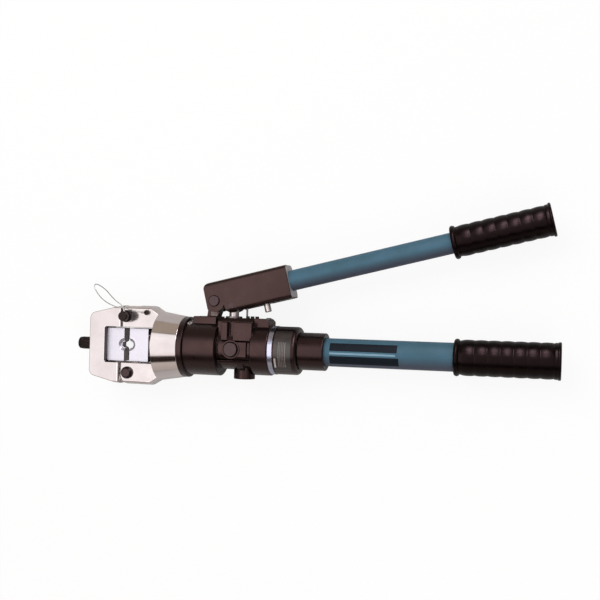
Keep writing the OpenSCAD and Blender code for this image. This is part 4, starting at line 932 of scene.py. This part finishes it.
@dataclass
class WireLanyard:
    """Thin stranded wire that keeps the latch pin on the tool, laid in one long loop."""

    diameter: float = 1.2
    steps: int = 12
    sides: int = 24
    strands: int = 6
    groove_share: float = 0.09
    lay_mm: float = 5.0

    def route(self) -> Array:
        """Return the wire's chosen points in tool millimetres, from the pin to the screw."""
        return np.array([
            [-74.5, 47.1, 27.25], [-77.8, 50.4, 27], [-85.3, 55, 26], [-93.4, 60.8, 22.5],
            [-102.5, 67.6, 17.5], [-113, 73.2, 13], [-120, 75, 11], [-122.3, 72, 10.5],
            [-118.5, 65.5, 11.5], [-111, 58.5, 14.5], [-102, 53, 17.8], [-92, 48.8, 20],
            [-84, 46.8, 19.5], [-74, 45.5, 18.7], [-63, 42.5, 18.3], [-54, 41.2, 18.2]])

    def centreline(self) -> Array:
        """Carry a smooth curve through the route's points.

        Each span is a cubic whose end slopes are half the step between its neighbours.

        Returns:
            Points of the smooth curve in tool millimetres.
        """
        p = self.route()
        ends = np.concatenate([p[:1], p, p[-1:]])
        a, b, c, d = (ends[i:i + len(p) - 1][:, None, :] for i in range(4))
        t = np.linspace(0.0, 1.0, self.steps, endpoint=False)[None, :, None]
        square, cube = 2 * a - 5 * b + 4 * c - d, 3 * b - a - 3 * c + d
        curve = (2 * b + (c - a) * t + square * t ** 2 + cube * t ** 3) / 2
        return np.concatenate([curve.reshape(-1, 3), p[-1:]])

    def build(self) -> Object:
        """Sweep a stranded section along the curve, with strands that turn as they run.

        The section's radius is the wire's, less a shallow groove between strands: a
        cosine of the angle times the strands, turned by the lay along the curve.

        Returns:
            The wire.
        """
        line = self.centreline()
        heading = unit(np.gradient(line, axis=0))
        side = unit(np.cross(heading, np.array(UP)))
        rise = np.cross(side, heading)
        run = np.concatenate([[0.0], np.cumsum(np.linalg.norm(np.diff(line, axis=0), axis=1))])
        angle = around(self.sides)
        twist = angle * self.strands + (2.0 * np.pi * run / self.lay_mm)[:, None]
        r = self.diameter / 2 * (1.0 - self.groove_share * (1.0 - np.cos(twist)) / 2)
        cos, sin = np.cos(angle)[None, :, None], np.sin(angle)[None, :, None]
        points = capped(line, r[..., None] * (cos * side[:, None] + sin * rise[:, None]))
        piece = new_piece("lanyard_wire", TOOL.points(points), grid_faces(len(points), self.sides, True))
        dress(piece, WIRE)
        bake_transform(piece)
        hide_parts("lanyard")
        return piece


@dataclass
class CoilSpring:
    """Round-wire spring with closed ends, in the place of its plain coil."""

    node: str
    body: str
    along: int
    wire: float
    turns: float
    steps: int = 36
    sides: int = 12
    turn_shares: tuple[float, ...] = (0.0, 0.16, 0.84, 1.0)
    rise_shares: tuple[float, ...] = (0.0, 0.05, 0.95, 1.0)

    def build(self) -> Object:
        """Wind the spring inside the coil's box.

        The wire's middle goes round at a fixed radius. Its rise is slow over the
        first and last part of a turn, so that each end lies flat, and even between.

        Returns:
            The spring.
        """
        low, high = (np.array(corner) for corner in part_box(self.node))
        order = [self.along, (self.along + 1) % 3, (self.along + 2) % 3]
        half = self.wire * MM / 2
        middle, r = (low + high) / 2, (high - low)[order[1]] / 2 - half
        t = np.linspace(0.0, 1.0, int(self.turns * self.steps) + 1)
        rise = np.interp(t, self.turn_shares, self.rise_shares)
        start, end = low[self.along] + half, high[self.along] - half
        turn = 2.0 * np.pi * self.turns * t
        outward = np.stack([np.zeros_like(t), np.cos(turn), np.sin(turn)], axis=-1)
        line = r * outward
        line[:, 0] = start + (end - start) * rise - middle[self.along]
        across = np.cross(unit(np.gradient(line, axis=0)), outward)
        angle = around(self.sides)[None, :, None]
        tube = capped(line, half * (np.cos(angle) * outward[:, None] + np.sin(angle) * across[:, None]))
        points = np.empty_like(tube)
        points[..., order] = tube
        piece = new_piece(f"{self.node}_coil", points + middle, grid_faces(len(tube), self.sides, True))
        dress(piece, BRIGHT_STEEL)
        near, far = middle.copy(), middle.copy()
        near[self.along], far[self.along] = low[self.along], high[self.along]
        if self.body == "tool":
            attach(piece, "tool")
        else:
            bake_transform(piece)
        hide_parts(self.node)
        return piece


@dataclass(frozen=True)
class Lamp:
    """A soft lamp: its place and target in tool millimetres, and its size in metres.

    A gleam is seen only as a highlight, and doesn't light the tool or the floor.
    """

    name: str
    place: Point
    target: Point
    size: Span
    power: float
    colour: str
    gleam: bool = False


@dataclass(frozen=True)
class Wall:
    """One stop of the room that shows in reflections, by its angle about the tool's axis.

    The place runs from 0 at the low side's horizon over 0.5 straight up to 1 at
    the lever side's horizon.
    """

    place: float
    colour: str
    light: float


@dataclass
class Studio:
    """Pale floor, soft overhead light and the camera at the photograph's angle.

    The camera's aim and distance are in tool millimetres, and the floor is in metres.
    """

    aim: Point = (145.0, 62.0, 0.0)
    lean_deg: float = 14.8
    roll_deg: float = 1.56
    distance: float = 1284.0
    lens: float = 63.48
    sensor: float = 36.0
    clip: Span = (0.05, 50.0)
    floor_half: float = 6.0
    floor_z: float = -0.0002
    floor_steps: int = 9
    floor_colour: str = "#f0f0f0"
    floor_glow: float = 1.04
    glow_share: float = 0.85
    seen_colour: str = "#ffffff"
    soft_colour: str = "#f7f3f1"
    soft_light: float = 0.55
    end_dim: Span = (0.55, 0.88)
    end_light: float = 0.25
    lamp_up: Point = (0.0, 1.0, 0.001)
    walls: tuple[Wall, ...] = (
        Wall(0.0, "#e4dad2", 0.9), Wall(0.18, "#e8ded6", 1.1), Wall(0.205, "#30221e", 0.9),
        Wall(0.31, "#362722", 0.9), Wall(0.332, "#fbf6f6", 1.55), Wall(0.42, "#fdfbfd", 1.66),
        Wall(0.735, "#fdfbfd", 1.66), Wall(0.75, "#6f5f55", 0.7), Wall(0.768, "#cdbdae", 0.95),
        Wall(1.0, "#d0c2b4", 0.95))
    lamps: tuple[Lamp, ...] = (
        Lamp("key_softbox", (-345.0, 966.0, 1857.0), (155.0, 66.0, -43.0), (1.2, 1.2), 16.0, "#fff8f4"),
        Lamp("fill_softbox", (1055.0, -834.0, 1657.0), (155.0, 66.0, -43.0), (1.0, 1.0), 6.0, "#f6f8ff"),
        Lamp("body_gleam", (-272.0, 20.0, 1000.0), (60.0, 0.0, 20.0), (0.2, 1.1), 2.1, "#fff8f6", True),
        Lamp("handle_gleam", (382.0, 439.0, 428.0), (410.0, 0.0, 18.0), (0.12, 0.42), 2.5, "#f3f1ff", True),
        Lamp("lever_gleam", (340.0, 631.0, 364.0), (440.0, 157.0, 16.0), (0.12, 0.34), 1.8, "#f3f1ff", True))

    def camera(self) -> None:
        """Set the camera over the tool, leaning towards the handles."""
        lean, roll = math.radians(self.lean_deg), math.radians(self.roll_deg)
        back = np.array([math.sin(lean), 0.0, math.cos(lean)])
        level, across = np.array([math.cos(lean), 0.0, -math.sin(lean)]), np.array([0.0, 1.0, 0.0])
        right = level * math.cos(roll) + across * math.sin(roll)
        up = across * math.cos(roll) - level * math.sin(roll)
        data = bpy.data.cameras.new("camera")
        data.lens = self.lens
        data.sensor_width = self.sensor
        data.clip_start, data.clip_end = self.clip
        camera = add_object("camera", data)
        set_pose(camera, right, up, back, np.array(TOOL.point(*self.aim)) + back * self.distance * MM)
        bpy.context.scene.camera = camera

    def floor(self) -> None:
        """Lay a white floor, a flat square grid, that keeps the tool's soft shadow."""
        side = np.linspace(-self.floor_half, self.floor_half, self.floor_steps)
        x, y = np.meshgrid(side, side, indexing="ij")
        points = np.stack([x, y, np.full_like(x, self.floor_z)], axis=-1)
        floor = new_piece("floor", points, grid_faces(len(side), len(side), False)[:, ::-1])
        material = bpy.data.materials.new("white_paper_floor")
        tree = fresh_tree(material)
        matt = add_node(tree, "ShaderNodeBsdfDiffuse", {"Color": linear(self.floor_colour)})
        glow = add_node(tree, "ShaderNodeEmission", {
            "Color": linear(self.seen_colour), "Strength": self.floor_glow})
        ray = add_node(tree, "ShaderNodeLightPath")
        mix = add_node(tree, "ShaderNodeMixShader", {
            0: maths(tree, "MULTIPLY", ray.outputs["Is Camera Ray"], self.glow_share),
            1: matt.outputs["BSDF"], 2: glow.outputs["Emission"]})
        add_node(tree, "ShaderNodeOutputMaterial", {"Surface": mix.outputs["Shader"]})
        floor.data.materials.append(material)

    def sky(self) -> None:
        """Make the room: white where it is seen, and a softbox with darker walls in reflections."""
        world = bpy.data.worlds.new("studio_room")
        tree = fresh_tree(world)
        place = add_node(tree, "ShaderNodeTexCoord")
        axis = add_node(tree, "ShaderNodeSeparateXYZ", {"Vector": place.outputs["Generated"]}).outputs
        angle = maths(tree, "ARCTAN2", axis["Y"], axis["Z"])
        room = add_node(tree, "ShaderNodeValToRGB", {"Fac": remap(tree, angle, (-math.pi / 2, math.pi / 2))})
        stops = room.color_ramp.elements
        stops.remove(stops[1])
        for number, wall in enumerate(self.walls):
            stop = stops.new(wall.place) if number else stops[0]
            stop.position = wall.place
            stop.color = (*(wall.light * part for part in linear(wall.colour)[:3]), 1.0)
        fade = remap(tree, maths(tree, "ABSOLUTE", axis["X"]), self.end_dim, (1.0, self.end_light))
        mirror, white, soft = (
            add_node(tree, "ShaderNodeBackground", {"Color": colour, "Strength": light}).outputs["Background"]
            for colour, light in ((room.outputs["Color"], fade), (linear(self.seen_colour), 1.0),
                                  (linear(self.soft_colour), self.soft_light)))
        ray = add_node(tree, "ShaderNodeLightPath")
        pick = add_node(tree, "ShaderNodeMixShader", {0: ray.outputs["Is Glossy Ray"], 1: soft, 2: mirror})
        seen = add_node(tree, "ShaderNodeMixShader", {
            0: ray.outputs["Is Camera Ray"], 1: pick.outputs["Shader"], 2: white})
        add_node(tree, "ShaderNodeOutputWorld", {"Surface": seen.outputs["Shader"]})
        bpy.context.scene.world = world

    def lamp(self, lamp: Lamp) -> None:
        """Hang one soft lamp that faces its target.

        Args:
            lamp: The lamp's place, size and light.
        """
        data = bpy.data.lights.new(lamp.name, "AREA")
        data.shape = "RECTANGLE"
        data.size, data.size_y = lamp.size
        data.energy = lamp.power
        data.color = linear(lamp.colour)[:3]
        place, target = (np.array(TOOL.point(*spot)) for spot in (lamp.place, lamp.target))
        back = unit(place - target)
        side = unit(np.cross(np.array(self.lamp_up), back))
        hung = add_object(lamp.name, data)
        set_pose(hung, side, np.cross(back, side), back, place)
        hung.visible_camera = False
        hung.visible_glossy = lamp.gleam
        hung.visible_diffuse = not lamp.gleam

    def build(self) -> None:
        """Set up the camera, the floor, the room and the lamps."""
        bpy.context.scene.view_settings.view_transform = "Standard"
        self.camera()
        self.floor()
        self.sky()
        for lamp in self.lamps:
            self.lamp(lamp)


SOFT_PARTS = (
    SoftEdged("crimp_head", "tool", "head_nickel", NICKEL, 0.7, rim=1.8),
    SoftEdged("latch_yoke", "tool", "head_nickel", NICKEL, 0.7, rim=2.4),
    SoftEdged("fixed_die", "tool", "die_steel", DIE_STEEL, 0.35),
    SoftEdged("moving_die", "moving_die", "die_steel", DIE_STEEL, 0.35),
    SoftEdged("pump_body", "tool", "body_black", ENAMEL, 0.9),
    SoftEdged("lever_bracket", "lever", "bracket_black", SATIN, 1.6),
    SoftEdged("hinge_pin", "tool", "dark_steel", OXIDE_END_SHEEN, 0.4),
    SoftEdged("latch_pin", "latch_pin", "dark_steel", OXIDE, 0.4),
    SoftEdged("pivot_pin", "tool", "dark_steel", OXIDE_END_SHEEN, 0.4),
    SoftEdged("side_plug", "tool", "dark_steel", OXIDE_END_SHEEN, 0.4),
    SoftEdged("handle_socket", "tool", "body_black", ENAMEL, 0.8),
    SoftEdged("reservoir_collar", "tool", "body_black", ENAMEL, 0.6))
SPRINGS = (
    CoilSpring("ram_spring", "ram", 0, 2.4, 5.0),
    CoilSpring("knob_spring", "die_knob", 0, 0.8, 2.5),
    CoilSpring("release_spring", "release_stem", 1, 1.0, 2.5),
    CoilSpring("relief_spring", "tool", 2, 1.0, 2.5),
    CoilSpring("inlet_spring", "tool", 1, 1.0, 2.5))
GRIPS = (
    RibbedGrip("handle_grip", "tool", 333.4, 454.9, 17.0, 22.0, 21.2),
    RibbedGrip("lever_grip", "twist_handle", 297.0, 415.0, 12.52, 20.0, 18.5, lever=True))
# The print: the tube's and the label's radius, where the stripes and the hairlines start,
# the hairlines' pitch, their ends in degrees, the label print's thickness and the hairlines' widths.
TUBE_R, FILM_R = 17.0, 29.47
STRIPE_X, LINE_X, LINE_PITCH = 187.0, 127.0, 2.0
LINE_ENDS: Span = (-40.0, 22.0)
LINE_THICK = 0.04
LINE_WIDTHS = {"a": 0.6, "b": 0.4, "c": 0.4, "d": 0.4, "e": 0.7}
PATCHES = (
    PrintedPatch("tube_stripe_upper", INK, "tube_paint", TUBE_R, STRIPE_X, 268.0, 9.1, 43.5),
    PrintedPatch("tube_stripe_lower", INK, "tube_paint", TUBE_R, STRIPE_X, 270.0, -48.8, -11.9),
    PrintedPatch("tube_stripe_pale", PALE_INK, "tube_paint", TUBE_R, STRIPE_X, 266.0, -4.7, 2.4),
    *(PrintedPatch(f"label_line_{letter}", GREY_INK, "label_film", FILM_R, LINE_X + LINE_PITCH * number,
                   LINE_X + LINE_PITCH * number + width, *LINE_ENDS, LINE_THICK)
      for number, (letter, width) in enumerate(LINE_WIDTHS.items())),
    PrintedPatch("label_bar", LIGHT_INK, "label_film", FILM_R, 121.6, 123.8, -42.0, -17.0, LINE_THICK))
KNURLS = (
    KnurlSleeve("die_knob_knurl", "die_knob", (-141.5, 0.0, 0.0), 0, 13.0, 7.5),
    KnurlSleeve("latch_knob_knurl", "latch_pin", (-71.5, 36.1, 29.2), 2, 6.0, 5.8))


def main() -> None:
    """Build the studio and the tool's pieces in order."""
    logging.basicConfig(level=logging.INFO, format="%(message)s")
    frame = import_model()
    Studio().build()
    pieces = [WireLanyard().build()]
    for finish, names in NODE_FINISHES.items():
        for name in names:
            dress(frame["nodes"][name], finish)
    pieces += [part.build(frame["nodes"]) for part in SOFT_PARTS]
    pieces += [part.build() for part in (*SPRINGS, *GRIPS, *PATCHES, *KNURLS)]
    for piece in pieces:
        LOG.info("%s: %d faces", piece.name, len(piece.data.polygons))


if __name__ == "__main__":
    main()
